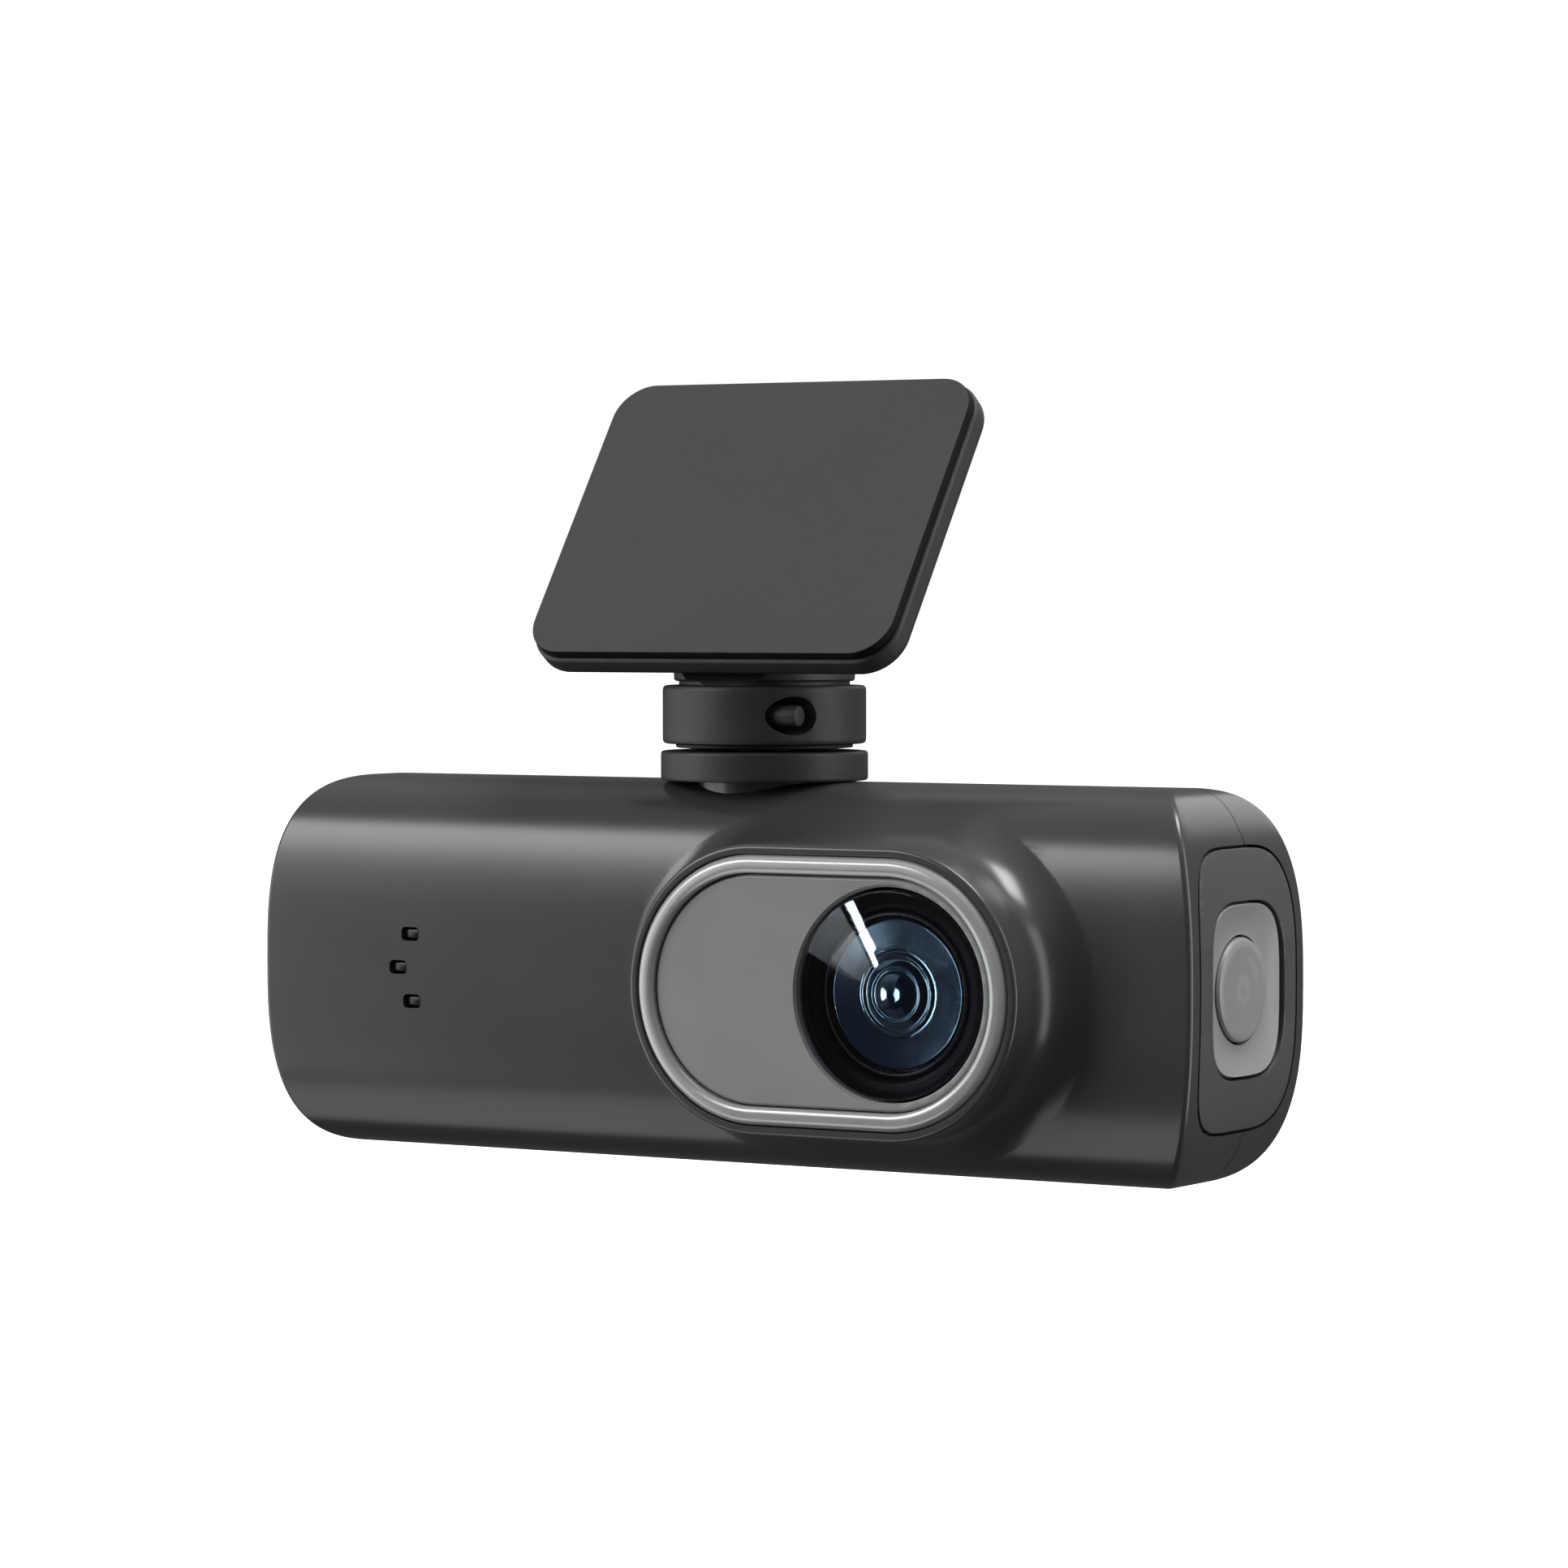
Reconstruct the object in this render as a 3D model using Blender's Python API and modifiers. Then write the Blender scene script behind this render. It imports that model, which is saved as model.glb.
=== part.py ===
"""Windscreen dash camera: a bar-shaped camera that pans and tilts under an adhesive plate.

Units are metres, +Z is up and the lens looks along -Y. The origin is the centre of the adhesive
face. Sizes below are measured from the datum of the camera: X = Y = 0 on the swivel's axis, and
Z = 0 under the body. The function at() turns a datum position into a world position.
"""

import math

import bmesh
import bpy
from mathutils import Vector

MM = 0.001
GAP = 0.3 * MM

# Body: the front outline run along Y, and the side section run along X, meet in a crisp edge.
BODY_HALF_LENGTH = 53.4 * MM
BODY_HALF_DEPTH = 12.0 * MM
BODY_HALF_HEIGHT = 19.0 * MM
BODY_BACKSET = 0.8 * MM
END_ROUND = 8.0 * MM
END_POWER = 2.6
SECTION_POWER = 3.46
WALL = 1.7 * MM
END_WALL = 4.5 * MM
PARTING_Y = 2.7 * MM
CORNER_STEPS = 8

# Lens boss: a stadium whose right-hand end is centred on the lens.
LENS_X = 24.85 * MM
LENS_Z = 18.6 * MM
BOSS_LEFT_X = 9.9 * MM
BOSS_RADIUS = 14.0 * MM
BOSS_FACE_Y = -18.5 * MM
FLARE_SIDE = 5.0 * MM
FLARE_TOP = 3.4 * MM
RING_POCKET_RADIUS = 13.1 * MM
RING_OUTER = 12.9 * MM
RING_INNER = 11.4 * MM
PLATE_RADIUS = 10.9 * MM
BOSS_OPENING = 10.6 * MM
LEDGE_Y = -16.6 * MM
WINDOW_HOLE = 10.25 * MM
WINDOW_RADIUS = 10.0 * MM

# End covers, button surround and power button.
COVER_HALF = (9.9 * MM, 13.4 * MM)
COVER_POWER = 4.2
POCKET_X = 50.2 * MM
SURROUND_HALF = (7.5 * MM, 8.5 * MM)
SURROUND_FLOOR_X = 51.3 * MM
BUTTON_RADIUS = 5.0 * MM
BUTTON_FACE_X = 52.9 * MM

# Swivel, hinge and plate.
SEAT_RADIUS = 6.6 * MM
SEAT_Z = 38.2 * MM
BASE_RADIUS = 10.3 * MM
BASE_TOP_Z = 41.0 * MM
COLLAR_RADIUS = 10.12 * MM
COLLAR_LOW_Z = 41.7 * MM
COLLAR_TOP_Z = 47.5 * MM
NECK_RADIUS = 9.0 * MM
NECK_LOW_Z = 47.9 * MM
NECK_TOP_Z = 49.6 * MM
LOCK_Y = -6.7 * MM
LOCK_Z = 44.6 * MM
HINGE_Y = 1.0 * MM
HINGE_Z = 54.0 * MM
EAR_RADIUS = 4.0 * MM
EAR_INNER_X = 3.3 * MM
EAR_OUTER_X = 6.3 * MM
LUG_HALF_X = 3.0 * MM
LUG_RADIUS = 3.8 * MM
LEAN = math.radians(34.84)
PAD_SIZE = (41.5 * MM, 32.9 * MM)
PAD_THICK = 0.8 * MM
PLATE_THICK = 2.9 * MM
PLATE_MARGIN = 0.3 * MM
PLATE_CORNER = 4.0 * MM
FACE_FOOT = (-12.29 * MM, 50.78 * MM)

FACE_CENTRE = Vector(
    (
        0,
        FACE_FOOT[0] + PAD_SIZE[1] / 2 * math.sin(LEAN),
        FACE_FOOT[1] + PAD_SIZE[1] / 2 * math.cos(LEAN),
    )
)
PLATE_TURN = (math.pi / 2 - LEAN, 0, 0)

# Boards, from front to back.
SENSOR_BOARD_Y = (2.9 * MM, 3.9 * MM)
MAIN_BOARD_Y = (6.0 * MM, 7.2 * MM)
MAIN_BOARD_X = (-46.5 * MM, 44.2 * MM)
MAIN_BOARD_Z = (8.5 * MM, 29.5 * MM)
SCREW_X = 38.0 * MM
SCREW_Z = (5.2 * MM, 32.8 * MM)
CARD_Z = 23.2 * MM
USB_Z = 11.4 * MM
SPEAKER_X = -28.0 * MM

TURNS = {
    "X": (math.pi / 2, 0, math.pi / 2),
    "Y": (math.pi / 2, 0, 0),
    "Z": (0, 0, 0),
}


def at(x, y, z):
    return Vector((x, y, z)) - FACE_CENTRE


def clear_scene():
    for old in list(bpy.data.objects):
        bpy.data.objects.remove(old, do_unlink=True)


def new_collection(name):
    made = bpy.data.collections.new(name)
    bpy.context.scene.collection.children.link(made)
    return made


def material(name, colour, roughness, metallic=0.0):
    made = bpy.data.materials.new(name)
    made.use_nodes = True
    shader = made.node_tree.nodes["Principled BSDF"]
    shader.inputs["Base Color"].default_value = (*colour, 1)
    shader.inputs["Roughness"].default_value = roughness
    shader.inputs["Metallic"].default_value = metallic
    made.diffuse_color = (*colour, 1)
    return made


def add(name, mesh, location, turn=(0, 0, 0)):
    made = bpy.data.objects.new(name, mesh)
    PARTS.objects.link(made)
    made.location = location
    made.rotation_euler = turn
    return made


def tool(shape):
    """Moves a helper to the cutters, where it isn't a part."""
    PARTS.objects.unlink(shape)
    CUTTERS.objects.link(shape)
    shape.hide_render = True
    shape.display_type = "WIRE"
    return shape


def boolean(shape, other, operation):
    """The exact solver leaves open edges at the shells' nearly flat end facets."""
    made = shape.modifiers.new(other.name, "BOOLEAN")
    made.operation = operation
    made.solver = "MANIFOLD" if shape.name.endswith("_shell") else "EXACT"
    made.object = other if other.hide_render else tool(other)


def cut(shape, *others):
    for other in others:
        boolean(shape, other, "DIFFERENCE")


def join(shape, *others):
    for other in others:
        boolean(shape, other, "UNION")


def keep_common(shape, other):
    boolean(shape, other, "INTERSECT")


def bevel(shape, width, segments=2, angle=50):
    made = shape.modifiers.new("edge", "BEVEL")
    made.width = width
    made.segments = segments
    made.limit_method = "ANGLE"
    made.angle_limit = math.radians(angle)
    return shape


def finish(shape, look, pivot, smooth=True):
    """Gives a part its material, and parents it to its body's empty where it lies."""
    shape.data.materials.append(look)
    shape.parent = pivot
    shape.matrix_parent_inverse = pivot.matrix_world.inverted()
    if smooth:
        shape.data.shade_smooth()
        shape.data.set_sharp_from_angle(angle=math.radians(35))
    return shape


def rounded_rectangle(half_x, half_y, radius, steps=5):
    points = []
    for corner, (sx, sy) in enumerate(((1, 1), (-1, 1), (-1, -1), (1, -1))):
        for step in range(steps + 1):
            angle = math.pi / 2 * (corner + step / steps)
            x = sx * (half_x - radius) + radius * math.cos(angle)
            y = sy * (half_y - radius) + radius * math.sin(angle)
            points.append((x, y))
    return points


def superellipse(half_x, half_y, power, steps=CORNER_STEPS):
    points = []
    for step in range(4 * steps):
        angle = math.pi / 2 * step / steps
        c = math.cos(angle)
        s = math.sin(angle)
        x = math.copysign(abs(c) ** (2 / power), c) * half_x
        y = math.copysign(abs(s) ** (2 / power), s) * half_y
        points.append((x, y))
    return points


def circle(radius, steps=32):
    return [
        (radius * math.cos(math.tau * i / steps), radius * math.sin(math.tau * i / steps))
        for i in range(steps)
    ]


def stadium_frame(steps=14):
    """Arc centre and outward direction of each point round the stadium, in X and Z."""
    frame = []
    for centre, start in ((LENS_X, -math.pi / 2), (BOSS_LEFT_X, math.pi / 2)):
        for step in range(steps + 1):
            angle = start + math.pi * step / steps
            frame.append((centre, math.cos(angle), math.sin(angle)))
    return frame


def stadium(radius):
    middle = (LENS_X + BOSS_LEFT_X) / 2
    return [(x - middle + radius * cx, radius * cz) for x, cx, cz in stadium_frame()]


def front_outline(half_length, half_height):
    """The body from the front: straight top and bottom, with soft squarish ends."""
    inner = half_length - END_ROUND
    points = []
    for x, z in superellipse(END_ROUND, half_height, END_POWER):
        sides = [math.copysign(1, x)]
        if abs(x) < 1e-9:
            sides = [math.copysign(1, z), -math.copysign(1, z)]
        points += [(side * inner + x, z) for side in sides]
    return points


def front_surface(z):
    """Y of the body's front at this height."""
    rise = min(abs(z - BODY_HALF_HEIGHT) / BODY_HALF_HEIGHT, 1)
    return BODY_BACKSET - BODY_HALF_DEPTH * (1 - rise**SECTION_POWER) ** (1 / SECTION_POWER)


def weld_and_face_out(mesh):
    work = bmesh.new()
    work.from_mesh(mesh)
    bmesh.ops.remove_doubles(work, verts=work.verts, dist=1e-6)
    bmesh.ops.recalc_face_normals(work, faces=work.faces)
    work.to_mesh(mesh)
    work.free()


def prism(name, axis, outlines, centre, low, high):
    """Flat outlines, an outer one and any holes, made solid from low to high along the axis."""
    curve = bpy.data.curves.new(name, "CURVE")
    curve.dimensions = "2D"
    curve.fill_mode = "BOTH"
    curve.extrude = (high - low) / 2
    for outline in outlines:
        spline = curve.splines.new("POLY")
        spline.points.add(len(outline) - 1)
        spline.use_cyclic_u = True
        for point, (x, y) in zip(spline.points, outline):
            point.co = (x, y, 0, 1)
    drawn = bpy.data.objects.new(name + "_outline", curve)
    PARTS.objects.link(drawn)
    bpy.context.view_layer.update()
    graph = bpy.context.evaluated_depsgraph_get()
    mesh = bpy.data.meshes.new_from_object(drawn.evaluated_get(graph))
    weld_and_face_out(mesh)
    bpy.data.objects.remove(drawn, do_unlink=True)
    middle = (low + high) / 2
    if axis == "X":
        place = at(middle, *centre)
    elif axis == "Y":
        place = at(centre[0], middle, centre[1])
    else:
        place = at(*centre, middle)
    return add(name, mesh, place, TURNS[axis])


def box(name, low, high):
    mesh = bpy.data.meshes.new(name)
    work = bmesh.new()
    bmesh.ops.create_cube(work, size=1)
    size = [b - a for a, b in zip(low, high)]
    bmesh.ops.scale(work, vec=size, verts=work.verts)
    work.to_mesh(mesh)
    work.free()
    return add(name, mesh, at(*((a + b) / 2 for a, b in zip(low, high))))


def cylinder(name, axis, centre, low, high, radius, steps=32):
    mesh = bpy.data.meshes.new(name)
    work = bmesh.new()
    bmesh.ops.create_cone(
        work,
        cap_ends=True,
        segments=steps,
        radius1=radius,
        radius2=radius,
        depth=high - low,
    )
    work.to_mesh(mesh)
    work.free()
    middle = (low + high) / 2
    places = {
        "X": (middle, *centre),
        "Y": (centre[0], middle, centre[1]),
        "Z": (*centre, middle),
    }
    return add(name, mesh, at(*places[axis]), TURNS[axis])


def turned(name, axis, centre, profile, steps=40, closed=False):
    """A profile of radius and height pairs, top to bottom on its outer side, turned once."""
    mesh = bpy.data.meshes.new(name)
    points = [(radius, 0, height) for radius, height in profile]
    edges = [(i, i + 1) for i in range(len(points) - 1)]
    if closed:
        edges.append((len(points) - 1, 0))
    mesh.from_pydata(points, edges, [])
    made = add(name, mesh, at(*centre), TURNS[axis])
    screw = made.modifiers.new("turn", "SCREW")
    screw.steps = steps
    screw.render_steps = steps
    screw.use_merge_vertices = True
    screw.merge_threshold = 1e-5
    screw.use_smooth_shade = True
    return made


def loft(name, rings):
    """Bridges closed rings of world points, and caps the first and the last."""
    mesh = bpy.data.meshes.new(name)
    work = bmesh.new()
    made = [[work.verts.new(point) for point in ring] for ring in rings]
    for ring, following in zip(made, made[1:]):
        for i in range(len(ring)):
            j = (i + 1) % len(ring)
            work.faces.new((ring[i], ring[j], following[j], following[i]))
    work.faces.new(made[0])
    work.faces.new(list(reversed(made[-1])))
    bmesh.ops.recalc_face_normals(work, faces=work.faces)
    work.to_mesh(mesh)
    work.free()
    return add(name, mesh, (0, 0, 0))


def body_solid(name, half_length, half_depth, half_height):
    """The outer form of the body, or of the hollow inside it."""
    outline = prism(
        name,
        "Y",
        [front_outline(half_length, half_height)],
        (0, BODY_HALF_HEIGHT),
        BODY_BACKSET - 1.2 * half_depth,
        BODY_BACKSET + 1.2 * half_depth,
    )
    section = prism(
        name + "_section",
        "X",
        [superellipse(half_depth, half_height, SECTION_POWER)],
        (BODY_BACKSET, BODY_HALF_HEIGHT),
        -1.1 * half_length,
        1.1 * half_length,
    )
    keep_common(outline, section)
    return outline


def outer_form(name):
    return body_solid(name, BODY_HALF_LENGTH, BODY_HALF_DEPTH, BODY_HALF_HEIGHT)


def cavity(name):
    return tool(
        body_solid(
            name,
            BODY_HALF_LENGTH - END_WALL,
            BODY_HALF_DEPTH - WALL,
            BODY_HALF_HEIGHT - WALL,
        )
    )


def lens_boss():
    """The stadium that carries the lens, with a concave flare where it leaves the body."""
    rings = [[], []]
    flare_steps = 5
    rings += [[] for _ in range(flare_steps + 2)]
    for x, cx, cz in stadium_frame():
        width = FLARE_SIDE - (FLARE_SIDE - FLARE_TOP) * cz * cz
        foot = front_surface(LENS_Z + BOSS_RADIUS * cz)
        far = front_surface(LENS_Z + (BOSS_RADIUS + width) * cz) + GAP
        edge = 0.5 * MM
        path = [
            (BOSS_RADIUS - edge, BOSS_FACE_Y),
            (BOSS_RADIUS, BOSS_FACE_Y + edge),
        ]
        for step in range(flare_steps + 1):
            t = step / flare_steps
            radius = BOSS_RADIUS + width * t * t
            y = (1 - t) ** 2 * (foot - width) + 2 * t * (1 - t) * foot + t * t * far
            path.append((radius, y))
        path.append((BOSS_RADIUS + width, -4 * MM))
        for ring, (radius, y) in zip(rings, path):
            ring.append(at(x + radius * cx, y, LENS_Z + radius * cz))
    return loft("lens_boss", rings)


def mount_seat(name):
    return cylinder(name, "Z", (0, 0), 30 * MM, SEAT_Z, SEAT_RADIUS, 36)


def cover_outline(margin=0.0):
    return superellipse(COVER_HALF[0] + margin, COVER_HALF[1] + margin, COVER_POWER)


def end_pocket(name, side):
    low, high = sorted((side * POCKET_X, side * 60 * MM))
    return prism(name, "X", [cover_outline(GAP)], (BODY_BACKSET, BODY_HALF_HEIGHT), low, high)


def shell_bosses(name, low, high, radius):
    """Screw pillars at the four corners, each a separate helper."""
    return [
        cylinder(f"{name}_{i}_{j}", "Y", (x, z), low, high, radius, 20)
        for i, x in enumerate((-SCREW_X, SCREW_X))
        for j, z in enumerate(SCREW_Z)
    ]


def indicator_places():
    """X and Z of the three small front windows."""
    return (
        ("upper", -35.2 * MM, 22.2 * MM),
        ("middle", -36.7 * MM, 18.8 * MM),
        ("lower", -35.0 * MM, 15.4 * MM),
    )


def swivel_holes(name):
    """The round hole under the swivel, and the room for its flange below the top wall."""
    return (
        cylinder(name, "Z", (0, 0), 34.2 * MM, 45 * MM, 5.5 * MM, 28),
        cylinder(name + "_relief", "Z", (0, 0), 31 * MM, 36.0 * MM, 6.7 * MM, 28),
    )


def front_shell():
    shell = outer_form("front_shell")
    join(shell, lens_boss(), mount_seat("front_seat"))
    cut(shell, cavity("front_cavity"))
    far = 60 * MM
    rear_half = box("rear_half", (-far, PARTING_Y, -far), (far, far, far))
    cut(shell, rear_half)
    join(shell, *shell_bosses("front_pillar", -7.6 * MM, PARTING_Y - GAP, 2.4 * MM))
    cut(shell, *shell_bosses("pilot_hole", -4 * MM, 5 * MM, 1.25 * MM))
    middle = ((LENS_X + BOSS_LEFT_X) / 2, LENS_Z)
    face = BOSS_FACE_Y - 2 * MM
    cut(
        shell,
        prism("ring_pocket", "Y", [stadium(RING_POCKET_RADIUS)], middle, face, LEDGE_Y),
        prism("boss_opening", "Y", [stadium(BOSS_OPENING)], middle, face, -6 * MM),
        end_pocket("right_pocket_front", 1),
        end_pocket("left_pocket_front", -1),
        *swivel_holes("swivel_hole_front"),
        button_hole("button_hole_front"),
        card_mouth("card_mouth_front"),
        usb_mouth("usb_mouth_front"),
    )
    for name, x, z in indicator_places():
        outline = rounded_rectangle(1.05 * MM, 0.7 * MM, 0.4 * MM, 3)
        cut(shell, prism(f"indicator_hole_{name}", "Y", [outline], (x, z), -15 * MM, -6 * MM))
    return finish(shell, CHARCOAL, CAMERA)


def button_hole(name):
    centre = (BODY_BACKSET, BODY_HALF_HEIGHT)
    return cylinder(name, "X", centre, 40 * MM, 60 * MM, 2.4 * MM, 24)


def card_mouth(name):
    return box(
        name,
        (-60 * MM, 3.55 * MM, CARD_Z - 5.9 * MM),
        (-47 * MM, 5.45 * MM, CARD_Z + 5.9 * MM),
    )


def usb_mouth(name):
    outline = rounded_rectangle(1.9 * MM, 4.8 * MM, 1.6 * MM, 4)
    return prism(name, "X", [outline], (3.6 * MM, USB_Z), -60 * MM, -47 * MM)


def slot(name, x, z, half_width, half_height):
    outline = rounded_rectangle(half_width, half_height, half_width * 0.99, 2)
    return prism(name, "Y", [outline], (x, z), 8 * MM, 16 * MM)


def rear_shell():
    shell = outer_form("rear_shell")
    join(shell, mount_seat("rear_seat"))
    cut(shell, cavity("rear_cavity"))
    far = 60 * MM
    front_half = box("front_half", (-far, -far, -far), (far, PARTING_Y + GAP, far))
    cut(shell, front_half)
    join(shell, *shell_bosses("rear_pillar", PARTING_Y + 2 * GAP, 9.4 * MM, 3.0 * MM))
    cut(shell, *shell_bosses("screw_hole", 0, 12 * MM, 1.4 * MM))
    cut(shell, *shell_bosses("screw_seat", 8.8 * MM, 16 * MM, 2.3 * MM))
    cut(
        shell,
        end_pocket("right_pocket_rear", 1),
        end_pocket("left_pocket_rear", -1),
        *swivel_holes("swivel_hole_rear"),
        button_hole("button_hole_rear"),
        card_mouth("card_mouth_rear"),
        usb_mouth("usb_mouth_rear"),
    )
    for i in range(5):
        x = SPEAKER_X + (i - 2) * 2.6 * MM
        height = (5.2 - 0.55 * (i - 2) ** 2) * MM
        cut(shell, slot(f"grille_slot_{i}", x, BODY_HALF_HEIGHT, 0.6 * MM, height))
    for i in range(8):
        x = (-6 + 5 * i) * MM
        cut(shell, slot(f"vent_slot_{i}", x, 25 * MM, 0.7 * MM, 3.4 * MM))
    return finish(shell, CHARCOAL, CAMERA)


def end_cover(name, side):
    """A cover that carries on the body's surface inside its own groove."""
    cover = outer_form(name)
    low, high = sorted((side * (POCKET_X + GAP), side * 60 * MM))
    centre = (BODY_BACKSET, BODY_HALF_HEIGHT)
    keep_common(cover, tool(prism(name + "_edge", "X", [cover_outline()], centre, low, high)))
    return cover


def right_end_cover():
    cover = end_cover("right_end_cover", 1)
    centre = (BODY_BACKSET, BODY_HALF_HEIGHT)
    outline = superellipse(SURROUND_HALF[0], SURROUND_HALF[1], 3.6)
    pocket = prism("surround_pocket", "X", [outline], centre, SURROUND_FLOOR_X, 60 * MM)
    through = cylinder("cover_hole", "X", centre, 45 * MM, 60 * MM, BUTTON_RADIUS + 0.6 * MM)
    cut(cover, pocket, through)
    return finish(cover, GREY, CAMERA)


def left_end_cover():
    cover = end_cover("left_end_cover", -1)
    cut(cover, card_mouth("card_mouth_cover"), usb_mouth("usb_mouth_cover"))
    thumb = cylinder(
        "thumb_notch", "Z", (-55.6 * MM, 4.5 * MM), CARD_Z - 4 * MM, CARD_Z + 4 * MM, 4 * MM
    )
    cut(cover, thumb)
    return finish(cover, GREY, CAMERA)


def button_surround():
    """A shallow dish round the power button."""
    centre = (BODY_BACKSET, BODY_HALF_HEIGHT)
    margin = GAP
    outline = superellipse(SURROUND_HALF[0] - margin, SURROUND_HALF[1] - margin, 3.6)
    low = SURROUND_FLOOR_X + GAP
    surround = prism("button_surround", "X", [outline], centre, low, 53.0 * MM)
    bevel(surround, 0.3 * MM)
    dish = bpy.data.meshes.new("dish")
    work = bmesh.new()
    dish_radius = 60 * MM
    bmesh.ops.create_uvsphere(work, u_segments=48, v_segments=48, radius=dish_radius)
    work.to_mesh(dish)
    work.free()
    hollow = add("dish", dish, at(52.35 * MM + dish_radius, *centre), TURNS["X"])
    hole = cylinder("button_opening", "X", centre, 45 * MM, 60 * MM, BUTTON_RADIUS + GAP, 32)
    cut(surround, hollow, hole)
    return finish(surround, LIGHT_GREY, CAMERA)


def power_button():
    rear = BUTTON_FACE_X - 1.8 * MM
    stem = 49.0 * MM
    profile = [
        (0, BUTTON_FACE_X),
        (BUTTON_RADIUS * 0.6, BUTTON_FACE_X - 0.05 * MM),
        (BUTTON_RADIUS - 0.35 * MM, BUTTON_FACE_X - 0.15 * MM),
        (BUTTON_RADIUS, BUTTON_FACE_X - 0.45 * MM),
        (BUTTON_RADIUS, rear),
        (2.0 * MM, rear),
        (2.0 * MM, stem),
        (0, stem),
    ]
    centre = (0, BODY_BACKSET, BODY_HALF_HEIGHT)
    return finish(turned("power_button", "X", centre, profile, 32), LIGHT_GREY, BUTTON)


def bezel_ring():
    middle = ((LENS_X + BOSS_LEFT_X) / 2, LENS_Z)
    outlines = [stadium(RING_OUTER), stadium(RING_INNER)]
    ring = prism(
        "bezel_ring", "Y", outlines, middle, BOSS_FACE_Y - 0.4 * MM, LEDGE_Y - GAP
    )
    bevel(ring, 0.45 * MM)
    return finish(ring, SILVER, CAMERA)


def faceplate():
    middle = ((LENS_X + BOSS_LEFT_X) / 2, LENS_Z)
    plate = prism(
        "faceplate", "Y", [stadium(PLATE_RADIUS)], middle, -18.2 * MM, LEDGE_Y - GAP
    )
    bevel(plate, 0.3 * MM)
    hole = cylinder("window_hole", "Y", (LENS_X, LENS_Z), -25 * MM, -10 * MM, WINDOW_HOLE, 48)
    cut(plate, hole)
    return finish(plate, GREY, CAMERA)


def lens_stack():
    """The window, baffle, barrel and glass, turned about the lens axis. Heights run forward."""
    centre = (LENS_X, 0, LENS_Z)
    window = [
        (0, 18.25 * MM),
        (WINDOW_RADIUS - 0.2 * MM, 18.2 * MM),
        (WINDOW_RADIUS, 18.0 * MM),
        (WINDOW_RADIUS, 17.65 * MM),
        (0, 17.65 * MM),
    ]
    finish(turned("cover_glass", "Y", centre, window, 40), CLEAR, CAMERA)
    baffle = [
        (8.2 * MM, 17.35 * MM),
        (WINDOW_RADIUS, 17.35 * MM),
        (WINDOW_RADIUS, 9.2 * MM),
        (8.2 * MM, 9.2 * MM),
    ]
    finish(turned("lens_baffle", "Y", centre, baffle, 36, closed=True), BLACK, CAMERA)
    barrel = [
        (7.5 * MM, 16.9 * MM),
        (7.9 * MM, 16.7 * MM),
        (7.9 * MM, 7.4 * MM),
        (6.0 * MM, 7.4 * MM),
        (6.0 * MM, 0.6 * MM),
        (3.0 * MM, 0.6 * MM),
        (3.0 * MM, 14.6 * MM),
        (7.5 * MM, 14.6 * MM),
    ]
    finish(turned("lens_barrel", "Y", centre, barrel, 24, closed=True), BLACK, CAMERA)
    front = [
        (0, 17.3 * MM),
        (2.5 * MM, 17.2 * MM),
        (5.0 * MM, 16.85 * MM),
        (6.6 * MM, 16.4 * MM),
        (7.2 * MM, 16.1 * MM),
        (7.2 * MM, 14.9 * MM),
        (0, 14.9 * MM),
    ]
    finish(turned("front_lens", "Y", centre, front, 24), CLEAR, CAMERA)
    rear = [
        (0, 3.6 * MM),
        (2.7 * MM, 3.1 * MM),
        (2.7 * MM, 2.2 * MM),
        (0, 1.8 * MM),
    ]
    finish(turned("rear_lens", "Y", centre, rear, 16), CLEAR, CAMERA)


def sensor_block():
    """The threaded holder, the image sensor and its board."""
    half = 7.8 * MM
    holder = box(
        "lens_holder",
        (LENS_X - half, -0.2 * MM, LENS_Z - half),
        (LENS_X + half, 2.6 * MM, LENS_Z + half),
    )
    sleeve = cylinder("holder_sleeve", "Y", (LENS_X, LENS_Z), -6 * MM, 1 * MM, 7.6 * MM, 24)
    bore = cylinder("holder_bore", "Y", (LENS_X, LENS_Z), -10 * MM, 5 * MM, 6.3 * MM, 24)
    join(holder, sleeve)
    cut(holder, bore)
    finish(holder, BLACK, CAMERA)
    half = 4.0 * MM
    sensor = box(
        "image_sensor",
        (LENS_X - half, 1.7 * MM, LENS_Z - half),
        (LENS_X + half, SENSOR_BOARD_Y[0] - GAP, LENS_Z + half),
    )
    finish(sensor, CHIP, CAMERA, smooth=False)
    half = 10.5 * MM
    board = box(
        "sensor_board",
        (LENS_X - half, SENSOR_BOARD_Y[0], LENS_Z - half),
        (LENS_X + half, SENSOR_BOARD_Y[1], LENS_Z + half),
    )
    finish(board, BOARD, CAMERA, smooth=False)
    link = box(
        "board_connector",
        (LENS_X - 6 * MM, SENSOR_BOARD_Y[1] + GAP, LENS_Z - 2 * MM),
        (LENS_X + 6 * MM, MAIN_BOARD_Y[0] - GAP, LENS_Z + 2 * MM),
    )
    finish(bevel(link, 0.3 * MM, 1), BLACK, CAMERA, smooth=False)


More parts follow.
